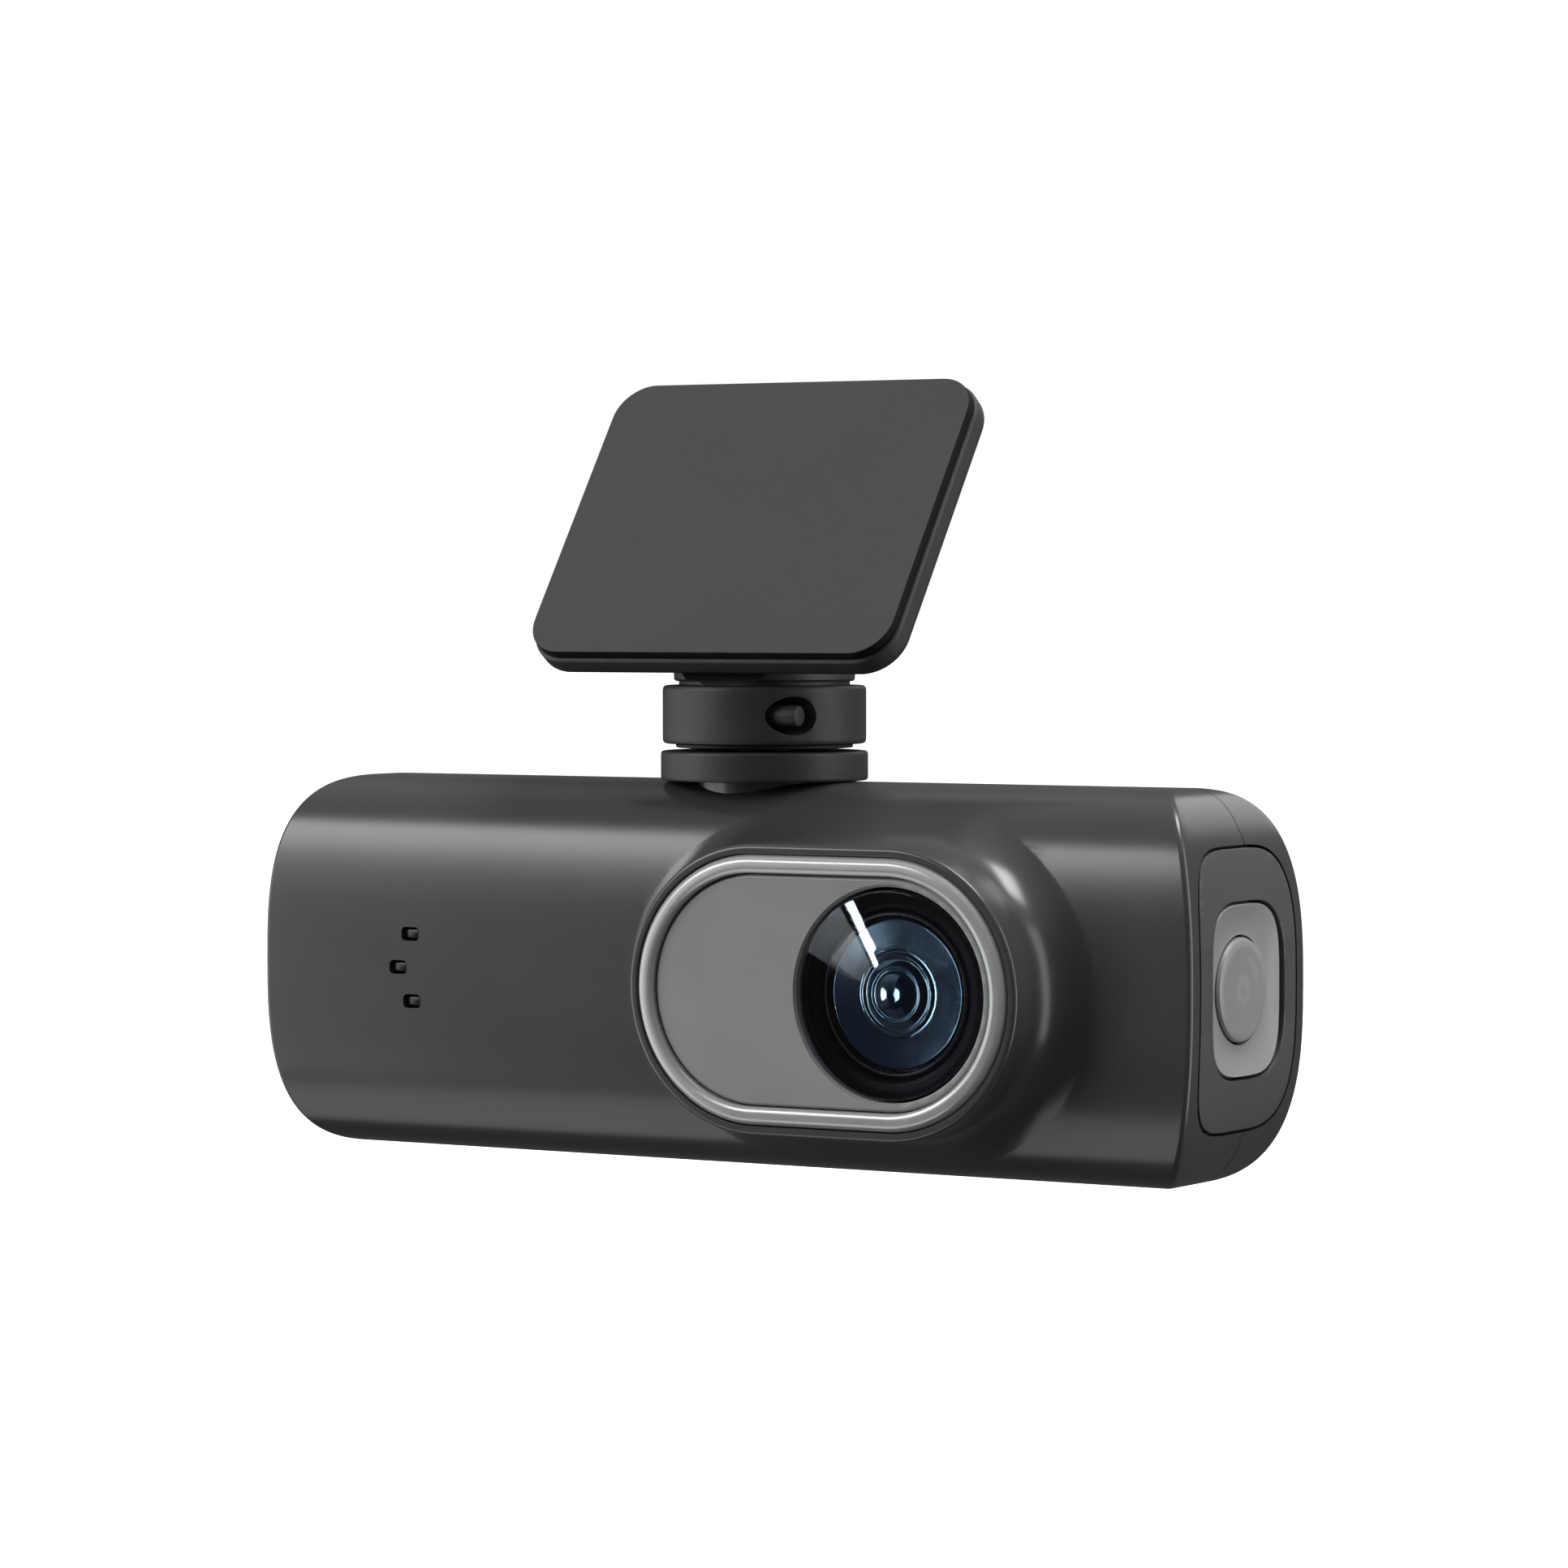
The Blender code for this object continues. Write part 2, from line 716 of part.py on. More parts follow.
def main_electronics():
    """The main board, with what stands on its front and back."""
    middle = (
        (MAIN_BOARD_X[0] + MAIN_BOARD_X[1]) / 2,
        (MAIN_BOARD_Z[0] + MAIN_BOARD_Z[1]) / 2,
    )
    half_x = (MAIN_BOARD_X[1] - MAIN_BOARD_X[0]) / 2
    half_z = (MAIN_BOARD_Z[1] - MAIN_BOARD_Z[0]) / 2
    outline = rounded_rectangle(half_x, half_z, 1.5 * MM, 3)
    board = prism("main_board", "Y", [outline], middle, *MAIN_BOARD_Y)
    finish(board, BOARD, CAMERA, smooth=False)
    back = MAIN_BOARD_Y[1] + GAP
    front = MAIN_BOARD_Y[0] - GAP
    blocks = (
        ("processor", CHIP, (0, back, 12 * MM), (14 * MM, back + 1.2 * MM, 26 * MM)),
        ("memory_chip", CHIP, (18 * MM, back, 13 * MM), (27 * MM, back + 1 * MM, 25 * MM)),
        ("power_chip", CHIP, (-12 * MM, back, 15 * MM), (-5 * MM, back + 1 * MM, 22 * MM)),
        ("wifi_antenna", COPPER, (-34 * MM, 3.8 * MM, 30.6 * MM), (-12 * MM, 4.5 * MM, 34.2 * MM)),
    )
    for name, look, low, high in blocks:
        finish(bevel(box(name, low, high), 0.15 * MM, 1), look, CAMERA, smooth=False)
    spreader_y = back + 1.2 * MM + GAP
    spreader = box(
        "heat_spreader", (-2 * MM, spreader_y, 10 * MM), (16 * MM, spreader_y + 0.8 * MM, 28 * MM)
    )
    finish(spreader, STEEL, CAMERA, smooth=False)
    centre = (SPEAKER_X, 0, BODY_HALF_HEIGHT)
    rim = [
        (0, -back - 0.6 * MM),
        (2.5 * MM, -back),
        (8.5 * MM, -back),
        (8.5 * MM, -10.7 * MM),
        (7.4 * MM, -10.7 * MM),
        (6.6 * MM, -9.9 * MM),
        (3.0 * MM, -9.5 * MM),
        (0, -10.2 * MM),
    ]
    finish(turned("speaker", "Y", centre, rim, 20), BLACK, CAMERA)
    for name, z in (("lower", 12.6 * MM), ("upper", 25.4 * MM)):
        finish(capacitor(f"supercapacitor_{name}", z, front), SLEEVE, CAMERA)


def capacitor(name, z, front):
    """A sleeved can lying along X, with its pressed groove and its flat end."""
    radius = 4.8 * MM
    profile = [
        (0, 10 * MM),
        (radius - 0.5 * MM, 10 * MM),
        (radius, 9.5 * MM),
        (radius, 8.2 * MM),
        (radius - 0.5 * MM, 7.8 * MM),
        (radius, 7.4 * MM),
        (radius, -10 * MM),
        (0, -10 * MM),
    ]
    return turned(name, "X", (-14 * MM, front - radius, z), profile, 16)


def ports():
    """The memory card in its socket, and the power inlet, both open at the left-hand end."""
    low_x = -47.2 * MM
    socket = box(
        "card_socket",
        (low_x, 3.0 * MM, CARD_Z - 6.5 * MM),
        (-33.4 * MM, MAIN_BOARD_Y[0] - GAP, CARD_Z + 6.5 * MM),
    )
    inside = box(
        "card_room",
        (low_x - 1 * MM, 3.6 * MM, CARD_Z - 5.8 * MM),
        (-34.2 * MM, 5.2 * MM, CARD_Z + 5.8 * MM),
    )
    cut(socket, inside)
    finish(socket, STEEL, CAMERA, smooth=False)
    outline = [
        (-50.6 * MM, -5.5 * MM),
        (-35.6 * MM, -5.5 * MM),
        (-35.6 * MM, 4.1 * MM),
        (-41.0 * MM, 4.1 * MM),
        (-42.4 * MM, 5.5 * MM),
        (-50.6 * MM, 5.5 * MM),
    ]
    card = prism("memory_card", "Y", [outline], (0, CARD_Z), 3.9 * MM, 4.9 * MM)
    finish(bevel(card, 0.12 * MM, 1), BLACK, CARD, smooth=False)
    shell = rounded_rectangle(1.6 * MM, 4.47 * MM, 1.3 * MM, 4)
    room = rounded_rectangle(1.25 * MM, 4.12 * MM, 1.0 * MM, 4)
    tongue = rounded_rectangle(0.35 * MM, 3.3 * MM, 0.3 * MM, 2)
    centre = (3.6 * MM, USB_Z)
    inlet = prism("usb_inlet", "X", [shell], centre, -50.0 * MM, -42.6 * MM)
    hollow = prism("usb_room", "X", [room, tongue], centre, -51.0 * MM, -43.6 * MM)
    cut(inlet, hollow)
    return finish(inlet, STEEL, CAMERA)


def button_electronics():
    board = box(
        "button_board", (44.7 * MM, -6 * MM, 10 * MM), (45.7 * MM, 5.4 * MM, 28 * MM)
    )
    finish(board, BOARD, CAMERA, smooth=False)
    switch = box(
        "button_switch",
        (46.0 * MM, BODY_BACKSET - 3 * MM, BODY_HALF_HEIGHT - 3 * MM),
        (47.7 * MM, BODY_BACKSET + 3 * MM, BODY_HALF_HEIGHT + 3 * MM),
    )
    centre = (BODY_BACKSET, BODY_HALF_HEIGHT)
    join(switch, cylinder("switch_plunger", "X", centre, 47 * MM, 48.2 * MM, 1.6 * MM, 20))
    return finish(switch, STEEL, CAMERA, smooth=False)


def indicators():
    board = box(
        "indicator_board", (-41 * MM, -6.9 * MM, 11 * MM), (-31 * MM, -5.9 * MM, 26.5 * MM)
    )
    finish(board, BOARD, CAMERA, smooth=False)
    outline = rounded_rectangle(0.8 * MM, 0.45 * MM, 0.3 * MM, 3)
    for name, x, z in indicator_places():
        lens = prism(f"indicator_{name}", "Y", [outline], (x, z), -10.75 * MM, -7.2 * MM)
        finish(lens, BLACK, CAMERA)
    microphone = [
        (0, 5.6 * MM),
        (2 * MM, 5.6 * MM),
        (2 * MM, 4.1 * MM),
        (0, 4.1 * MM),
    ]
    centre = (-36 * MM, 0, 19 * MM)
    return finish(turned("microphone", "Y", centre, microphone, 20), STEEL, CAMERA)


def case_screws():
    profile = [
        (0.5 * MM, -9.7 * MM),
        (0.95 * MM, -9.1 * MM),
        (0.95 * MM, 2.6 * MM),
        (0, 3.2 * MM),
    ]
    head = [(0, -10.0 * MM), (0.8 * MM, -10.0 * MM), (0.8 * MM, -10.6 * MM)]
    head += [(1.9 * MM, -10.4 * MM), (2.0 * MM, -10.1 * MM), (2.0 * MM, -9.2 * MM)]
    outline = list(reversed(head + profile[1:]))
    for i, x in enumerate((-SCREW_X, SCREW_X)):
        for j, z in enumerate(SCREW_Z):
            screw = turned(f"case_screw_{2 * i + j + 1}", "Y", (x, 0, z), outline, 12)
            finish(screw, STEEL, CAMERA)


def swivel_base():
    """The disc on the body, held in the casing's round hole by its lower flange."""
    profile = [
        (2.8 * MM, BASE_TOP_Z),
        (BASE_RADIUS - 0.3 * MM, BASE_TOP_Z),
        (BASE_RADIUS, BASE_TOP_Z - 0.3 * MM),
        (BASE_RADIUS, SEAT_Z + GAP),
        (5.2 * MM, SEAT_Z + GAP),
        (5.2 * MM, 35.7 * MM),
        (6.3 * MM, 35.7 * MM),
        (6.3 * MM, 34.8 * MM),
        (2.8 * MM, 34.8 * MM),
    ]
    base = turned("swivel_base", "Z", (0, 0, 0), profile, 36, closed=True)
    return finish(base, CHARCOAL, CAMERA)


def hinge_post():
    """The spigot, the neck and the two hinge ears in one piece."""
    profile = [
        (0, NECK_TOP_Z),
        (NECK_RADIUS - 0.3 * MM, NECK_TOP_Z),
        (NECK_RADIUS, NECK_TOP_Z - 0.3 * MM),
        (NECK_RADIUS, NECK_LOW_Z),
        (4.7 * MM, NECK_LOW_Z),
        (4.7 * MM, 41.5 * MM),
        (2.5 * MM, 41.5 * MM),
        (2.5 * MM, 34.5 * MM),
        (0, 34.5 * MM),
    ]
    post = turned("hinge_post", "Z", (0, 0, 0), profile, 36)
    ear = [(EAR_RADIUS * math.cos(a), EAR_RADIUS * math.sin(a)) for a in half_turn(8)]
    foot = NECK_TOP_Z - 1 * MM - HINGE_Z
    ear += [(-EAR_RADIUS - 1 * MM, foot), (EAR_RADIUS + 1 * MM, foot)]
    for name, low, high in (
        ("right_ear", EAR_INNER_X, EAR_OUTER_X),
        ("left_ear", -EAR_OUTER_X, -EAR_INNER_X),
    ):
        join(post, prism(name, "X", [ear], (HINGE_Y, HINGE_Z), low, high))
    clearance = box("plate_room", (-15 * MM, -30 * MM, 0), (15 * MM, 0, 30 * MM))
    clearance.rotation_euler = PLATE_TURN
    plate_back = PAD_THICK + GAP + PLATE_THICK
    offset = Vector((0, math.cos(LEAN), -math.sin(LEAN))) * (plate_back + 1.1 * MM)
    half = 15 * MM
    along = Vector((0, math.sin(LEAN), math.cos(LEAN)))
    outward = Vector((0, -math.cos(LEAN), math.sin(LEAN)))
    clearance.location = offset + outward * half - along * PAD_SIZE[1] / 2
    screw_bore = cylinder("screw_bore", "Z", (0, 0), 30 * MM, 42 * MM, 1.4 * MM, 20)
    pin_bore = cylinder(
        "pin_bore", "X", (HINGE_Y, HINGE_Z), -12 * MM, 12 * MM, 1.55 * MM, 16
    )
    cut(post, clearance, screw_bore, pin_bore)
    return finish(post, CHARCOAL, NECK)


def half_turn(steps):
    return [math.pi * i / steps for i in range(steps + 1)]


def swivel_collar():
    profile = [
        (5.0 * MM, COLLAR_TOP_Z),
        (COLLAR_RADIUS - 0.4 * MM, COLLAR_TOP_Z),
        (COLLAR_RADIUS, COLLAR_TOP_Z - 0.4 * MM),
        (COLLAR_RADIUS, COLLAR_LOW_Z + 0.3 * MM),
        (COLLAR_RADIUS - 0.3 * MM, COLLAR_LOW_Z),
        (8.8 * MM, COLLAR_LOW_Z),
        (8.8 * MM, BASE_TOP_Z + GAP),
        (5.0 * MM, BASE_TOP_Z + GAP),
    ]
    collar = turned("swivel_collar", "Z", (0, 0, 0), profile, 48, closed=True)
    centre = (LOCK_Y, LOCK_Z)
    recess = cylinder("lock_recess", "X", centre, 3.3 * MM, 16 * MM, 1.9 * MM, 24)
    thread = cylinder("lock_thread", "X", centre, -3.5 * MM, 5 * MM, 0.85 * MM, 12)
    cut(collar, recess, thread)
    return finish(collar, CHARCOAL, NECK)


def lock_screw():
    """The tangential screw that holds the post in the collar."""
    profile = [
        (0, 8.2 * MM),
        (0.85 * MM, 8.2 * MM),
        (1.05 * MM, 8.0 * MM),
        (1.05 * MM, 3.6 * MM),
        (0.55 * MM, 3.6 * MM),
        (0.55 * MM, -3.0 * MM),
        (0, -3.0 * MM),
    ]
    screw = turned("lock_screw", "X", (0, LOCK_Y, LOCK_Z), profile, 16)
    return finish(screw, BLACK, NECK)


def swivel_fasteners():
    washer = [
        (1.5 * MM, 34.2 * MM),
        (5.2 * MM, 34.4 * MM),
        (5.2 * MM, 34.0 * MM),
        (1.5 * MM, 33.8 * MM),
    ]
    finish(turned("swivel_washer", "Z", (0, 0, 0), washer, 20, closed=True), STEEL, NECK)
    screw = [
        (0, 41 * MM),
        (1.1 * MM, 40.6 * MM),
        (1.1 * MM, 33.4 * MM),
        (3.2 * MM, 33.4 * MM),
        (3.2 * MM, 32.0 * MM),
        (2.4 * MM, 31.6 * MM),
        (0, 31.6 * MM),
    ]
    finish(turned("swivel_screw", "Z", (0, 0, 0), screw, 16), STEEL, NECK)
    pin = [
        (0, 8.3 * MM),
        (1.8 * MM, 8.3 * MM),
        (2.5 * MM, 7.8 * MM),
        (2.5 * MM, EAR_OUTER_X + GAP),
        (1.25 * MM, EAR_OUTER_X + GAP),
        (1.25 * MM, -8.6 * MM),
        (0, -8.6 * MM),
    ]
    finish(turned("hinge_screw", "X", (0, HINGE_Y, HINGE_Z), pin, 16), STEEL, NECK)
    outlines = [circle(2.9 * MM, 6), circle(1.55 * MM, 20)]
    low, high = -8.3 * MM, -EAR_OUTER_X - GAP
    nut = prism("hinge_nut", "X", outlines, (HINGE_Y, HINGE_Z), low, high)
    finish(bevel(nut, 0.2 * MM, 1), STEEL, NECK, smooth=False)


def plate_prism(name, half, corner, low, high):
    """A rounded plate in the leaning plane, from low to high along its outward normal."""
    made = prism(name, "Z", [rounded_rectangle(*half, corner, 6)], (0, 0), 0, high - low)
    made.rotation_euler = PLATE_TURN
    outward = Vector((0, -math.cos(LEAN), math.sin(LEAN)))
    made.location = outward * (low + high) / 2
    return made


def adhesive_pad():
    half = (PAD_SIZE[0] / 2, PAD_SIZE[1] / 2)
    pad = plate_prism("adhesive_pad", half, PLATE_CORNER, -PAD_THICK, 0)
    return finish(pad, FOAM, PLATE)


def bracket_plate():
    """The plate behind the pad, with the lug that turns between the post's ears."""
    half = (PAD_SIZE[0] / 2 + PLATE_MARGIN, PAD_SIZE[1] / 2 + PLATE_MARGIN)
    high = -PAD_THICK - GAP
    low = high - PLATE_THICK
    plate = plate_prism("bracket_plate", half, PLATE_CORNER + PLATE_MARGIN, low, high)
    bevel(plate, 0.9 * MM, 3)
    hinge = at(0, HINGE_Y, HINGE_Z)
    outward = Vector((0, -math.cos(LEAN), math.sin(LEAN)))
    reach = low - hinge.dot(outward) + 0.8 * MM
    turn = math.pi / 2 - LEAN
    outline = []
    for angle in half_turn(10):
        outline.append((LUG_RADIUS * math.cos(angle), -LUG_RADIUS * math.sin(angle)))
    outline += [(-LUG_RADIUS, reach), (LUG_RADIUS, reach)]
    leaned = [
        (x * math.cos(turn) - y * math.sin(turn), x * math.sin(turn) + y * math.cos(turn))
        for x, y in outline
    ]
    lug = prism("plate_lug", "X", [leaned], (HINGE_Y, HINGE_Z), -LUG_HALF_X, LUG_HALF_X)
    bore = cylinder("lug_bore", "X", (HINGE_Y, HINGE_Z), -9 * MM, 9 * MM, 1.55 * MM, 16)
    join(plate, lug)
    cut(plate, bore)
    return finish(plate, CHARCOAL, PLATE)


def pivot(name, location, parent=None):
    made = bpy.data.objects.new(name, None)
    made.empty_display_size = 5 * MM
    PARTS.objects.link(made)
    made.location = location
    if parent:
        made.parent = parent
        made.location = location - parent.matrix_world.translation
    bpy.context.view_layer.update()
    return made


clear_scene()
PARTS = new_collection("dash_camera")
CUTTERS = new_collection("cutters")

CHARCOAL = material("charcoal_plastic", (0.055, 0.057, 0.06), 0.42)
GREY = material("grey_plastic", (0.17, 0.175, 0.18), 0.4)
LIGHT_GREY = material("light_grey_plastic", (0.26, 0.265, 0.27), 0.4)
BLACK = material("black_plastic", (0.012, 0.012, 0.013), 0.35)
SILVER = material("bright_metal", (0.78, 0.79, 0.8), 0.2, 1.0)
STEEL = material("steel", (0.55, 0.56, 0.57), 0.35, 1.0)
COPPER = material("copper_film", (0.6, 0.35, 0.2), 0.4, 1.0)
CLEAR = material("glass", (0.02, 0.025, 0.035), 0.05)
BOARD = material("circuit_board", (0.01, 0.1, 0.04), 0.5)
CHIP = material("chip_epoxy", (0.02, 0.02, 0.022), 0.55)
SLEEVE = material("capacitor_sleeve", (0.02, 0.03, 0.1), 0.35)
FOAM = material("adhesive_foam", (0.09, 0.09, 0.092), 0.8)

PLATE = pivot("plate_frame", Vector((0, 0, 0)))
NECK = pivot("tilt_pivot", at(0, HINGE_Y, HINGE_Z), PLATE)
CAMERA = pivot("pan_pivot", at(0, 0, COLLAR_LOW_Z), NECK)
BUTTON = pivot("button_pivot", at(BUTTON_FACE_X, BODY_BACKSET, BODY_HALF_HEIGHT), CAMERA)
CARD = pivot("card_pivot", at(-50.6 * MM, 4.4 * MM, CARD_Z), CAMERA)

adhesive_pad()
bracket_plate()
hinge_post()
swivel_collar()
lock_screw()
swivel_fasteners()
swivel_base()
front_shell()
rear_shell()
right_end_cover()
left_end_cover()
button_surround()
power_button()
bezel_ring()
faceplate()
lens_stack()
sensor_block()
main_electronics()
ports()
button_electronics()
indicators()
case_screws()
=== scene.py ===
"""The looks of the dash camera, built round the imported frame. Lengths are metres."""

import math

import bmesh
import bpy
from mathutils import Matrix, Vector


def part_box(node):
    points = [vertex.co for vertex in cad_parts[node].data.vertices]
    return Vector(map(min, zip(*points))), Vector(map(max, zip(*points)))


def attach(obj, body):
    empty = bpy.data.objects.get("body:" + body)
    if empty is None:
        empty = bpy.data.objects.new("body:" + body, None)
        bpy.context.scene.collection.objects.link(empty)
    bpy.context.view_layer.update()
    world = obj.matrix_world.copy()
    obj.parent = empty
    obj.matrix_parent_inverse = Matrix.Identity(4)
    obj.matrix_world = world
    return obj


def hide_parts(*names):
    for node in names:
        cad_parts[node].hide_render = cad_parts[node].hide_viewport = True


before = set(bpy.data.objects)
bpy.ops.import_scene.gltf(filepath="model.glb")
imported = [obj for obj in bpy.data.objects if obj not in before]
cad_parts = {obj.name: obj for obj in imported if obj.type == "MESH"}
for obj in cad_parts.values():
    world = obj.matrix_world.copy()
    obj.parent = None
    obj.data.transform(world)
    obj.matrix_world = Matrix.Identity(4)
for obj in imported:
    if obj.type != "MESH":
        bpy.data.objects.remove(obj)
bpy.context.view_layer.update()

MM = 0.001
GAP = 0.3 * MM
FAR = 60 * MM  # past every face of the body
MERGE = 1e-7
ON_AXIS = 1e-6  # the radius of a turned shape where it meets its axis
SLIVER = 2e-6  # the half depth of the body's slice at its very top

# ---- Where things are: the datum is the swivel's axis in X and Y, and the body's underside in Z.
shell_low, shell_high = (Vector(corner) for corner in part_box("front_shell"))
rear_high = Vector(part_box("rear_shell")[1])
collar_low, collar_high = (Vector(corner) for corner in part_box("swivel_collar"))
DATUM = Vector(
    (
        (collar_low.x + collar_high.x) / 2,
        (collar_low.y + collar_high.y) / 2,
        shell_low.z,
    )
)

HALF_LENGTH = (shell_high.x - shell_low.x) / 2
BACKSET = 0.8 * MM
HALF_DEPTH = rear_high.y - DATUM.y - BACKSET
HALF_HEIGHT = 19.0 * MM
BODY_MIDDLE = (BACKSET, HALF_HEIGHT)
SWIVEL = (0, 0)
END_ROUND = 8.0 * MM
END_POWER = 2.6
SECTION_POWER = 3.46
WALL = 1.7 * MM
END_WALL = 4.5 * MM
PARTING_Y = 2.7 * MM
SEAM = 0.12 * MM
EDGE_ROUND = 0.55 * MM

LENS_X = 24.85 * MM
LENS_Z = 18.6 * MM
BOSS_LEFT_X = 9.9 * MM
BOSS_RADIUS = 14.0 * MM
BOSS_FACE_Y = -18.5 * MM
FLARE_SIDE = 5.0 * MM
FLARE_TOP = 3.4 * MM
LEDGE_Y = -16.6 * MM
RING_POCKET = 13.2 * MM
RING_OUTER = 12.9 * MM
RING_INNER = 11.4 * MM

POCKET_X = 50.2 * MM
COVER_HALF = (9.9 * MM, 13.4 * MM)
COVER_POWER = 4.2
SURROUND_HALF = (7.2 * MM, 8.2 * MM)
SURROUND_POWER = 3.6
BUTTON_RADIUS = 5.0 * MM
BUTTON_FACE_X = 52.9 * MM

COLLAR_RADIUS = 10.12 * MM
LOCK_Y = -6.7 * MM
LOCK_Z = 44.6 * MM
HINGE = (1.0 * MM, 54.0 * MM)
PIN_BORE = 1.55 * MM
LEAN = math.radians(34.84)
PAD_SIZE = (41.5 * MM, 32.9 * MM)
PAD_THICK = 0.8 * MM
PLATE_THICK = 2.9 * MM
SCREW_X = 38.0 * MM
SCREW_Z = (5.2 * MM, 32.8 * MM)
CARD_Z = 23.2 * MM
CARD_Y = 4.5 * MM
USB = (3.6 * MM, 11.4 * MM)
INDICATORS = (
    ("upper", -35.2 * MM, 22.2 * MM),
    ("middle", -36.7 * MM, 18.8 * MM),
    ("lower", -35.0 * MM, 15.4 * MM),
)

QUADRANTS = ((1, 1), (-1, 1), (-1, -1), (1, -1))
TURNS = {
    "X": Matrix(((0, 0, 1), (1, 0, 0), (0, 1, 0))),
    "Y": Matrix(((1, 0, 0), (0, 0, -1), (0, 1, 0))),
    "Z": Matrix.Identity(3),
}


def at(x, y, z):
    return DATUM + Vector((x, y, z))


def in_mm(*points):
    return [(across * MM, along * MM) for across, along in points]


def plate_axes():
    along = Vector((0, math.sin(LEAN), math.cos(LEAN)))
    outward = Vector((0, -math.cos(LEAN), math.sin(LEAN)))
    return along, outward


# ---- Mesh helpers. Every mesh is made where it lies, so its object stays at the origin.


def new_object(name, work):
    bmesh.ops.remove_doubles(work, verts=work.verts, dist=MERGE)
    bmesh.ops.recalc_face_normals(work, faces=work.faces)
    mesh = bpy.data.meshes.new(name)
    work.to_mesh(mesh)
    work.free()
    made = bpy.data.objects.new(name, mesh)
    bpy.context.scene.collection.objects.link(made)
    return made


def settle(shape):
    """Applies the modifiers of a shape to its mesh."""
    bpy.context.view_layer.update()
    graph = bpy.context.evaluated_depsgraph_get()
    mesh = bpy.data.meshes.new_from_object(shape.evaluated_get(graph))
    shape.modifiers.clear()
    shape.data = mesh
    return shape


def boolean(shape, operation, *tools):
    for other in tools:
        made = shape.modifiers.new("boolean", "BOOLEAN")
        made.operation = operation
        made.solver = "MANIFOLD"
        made.object = other
        settle(shape)
        bpy.data.objects.remove(other, do_unlink=True)


def cut(shape, *tools):
    boolean(shape, "DIFFERENCE", *tools)


def join(shape, *tools):
    boolean(shape, "UNION", *tools)


def bevel(shape, width, segments=3, angle=40):
    made = shape.modifiers.new("edge", "BEVEL")
    made.width = width
    made.segments = segments
    made.limit_method = "ANGLE"
    made.angle_limit = math.radians(angle)
    return settle(shape)


def ring_mesh(name, rings, closed=False):
    """Bridges closed rings of points; joins the last to the first, or caps both ends."""
    work = bmesh.new()
    made = [[work.verts.new(point) for point in ring] for ring in rings]
    if closed:
        made.append(made[0])
    for ring, following in zip(made, made[1:]):
        for i, vertex in enumerate(ring):
            j = (i + 1) % len(ring)
            work.faces.new((vertex, ring[j], following[j], following[i]))
    if not closed:
        work.faces.new(made[0])
        work.faces.new(list(reversed(made[-1])))
    return new_object(name, work)


def placed(axis, centre, points):
    turn = TURNS[axis]
    return [centre + turn @ Vector(point) for point in points]


def circle(radius, steps=64, height=0.0):
    return [
        (
            radius * math.cos(math.tau * i / steps),
            radius * math.sin(math.tau * i / steps),
            height,
        )
        for i in range(steps)
    ]


def turned(name, axis, centre, profile, steps=96, closed=True):
    """A profile of radius and height pairs turned about an axis; open ones end on the axis."""
    rings = []
    for radius, height in profile:
        rings.append(placed(axis, centre, circle(max(radius, ON_AXIS), steps, height)))
    return ring_mesh(name, rings, closed)


def soften(profile, radius, steps=4, closed=True):
    """Rounds each corner of a profile, as far as its sides allow."""
    rounded = []
    count = len(profile)
    for i, corner in enumerate(profile):
        if not closed and i in (0, count - 1):
            rounded.append(corner)
            continue
        here = Vector(corner)
        before = Vector(profile[i - 1]) - here
        after = Vector(profile[(i + 1) % count]) - here
        reach = min(radius, 0.45 * before.length, 0.45 * after.length)
        start = here + before.normalized() * reach
        end = here + after.normalized() * reach
        for step in range(steps + 1):
            t = step / steps
            point = (1 - t) ** 2 * start + 2 * t * (1 - t) * here + t * t * end
            rounded.append((point.x, point.y))
    return rounded


def superellipse(half_x, half_y, power, steps=40):
    points = []
    for step in range(4 * steps):
        angle = math.pi / 2 * step / steps
        c = math.cos(angle)
        s = math.sin(angle)
        x = math.copysign(abs(c) ** (2 / power), c) * half_x
        y = math.copysign(abs(s) ** (2 / power), s) * half_y
        points.append((x, y))
    return points


def rounded_rectangle(half_x, half_y, radius, steps=10):
    points = []
    for corner, (sx, sy) in enumerate(QUADRANTS):
        for step in range(steps + 1):
            angle = math.pi / 2 * (corner + step / steps)
            x = sx * (half_x - radius) + radius * math.cos(angle)
            y = sy * (half_y - radius) + radius * math.sin(angle)
            points.append((x, y))
    return points


def half_circle(radius, side, steps=32):
    """Half a circle from the first axis round to its far end, on one side of it."""
    turns = [math.pi * i / steps for i in range(steps + 1)]
    return [(radius * math.cos(turn), side * radius * math.sin(turn)) for turn in turns]


def prism(name, axis, outline, centre, low, high):
    """A flat outline made solid from low to high along its axis."""
    where = {"X": (0, *centre), "Y": (centre[0], 0, centre[1]), "Z": (*centre, 0)}
    sign = -1 if axis == "Y" else 1
    rings = []
    for level in (low, high):
        points = [(x, y, sign * level) for x, y in outline]
        rings.append(placed(axis, at(*where[axis]), points))
    return ring_mesh(name, rings)


def cylinder(name, axis, centre, low, high, radius, steps=64):
    outline = [point[:2] for point in circle(radius, steps)]
    return prism(name, axis, outline, centre, low, high)


def box(name, low, high):
    outline = [(low[0], low[1]), (high[0], low[1]), (high[0], high[1]), (low[0], high[1])]
    return prism(name, "Z", outline, (0, 0), low[2], high[2])


# ---- Materials. Object coordinates are metres, so a noise scale of 1000 is about a millimetre.

MOTTLE = 90
SMUDGE = 260
GRAIN_DEPTH = 0.02 * MM


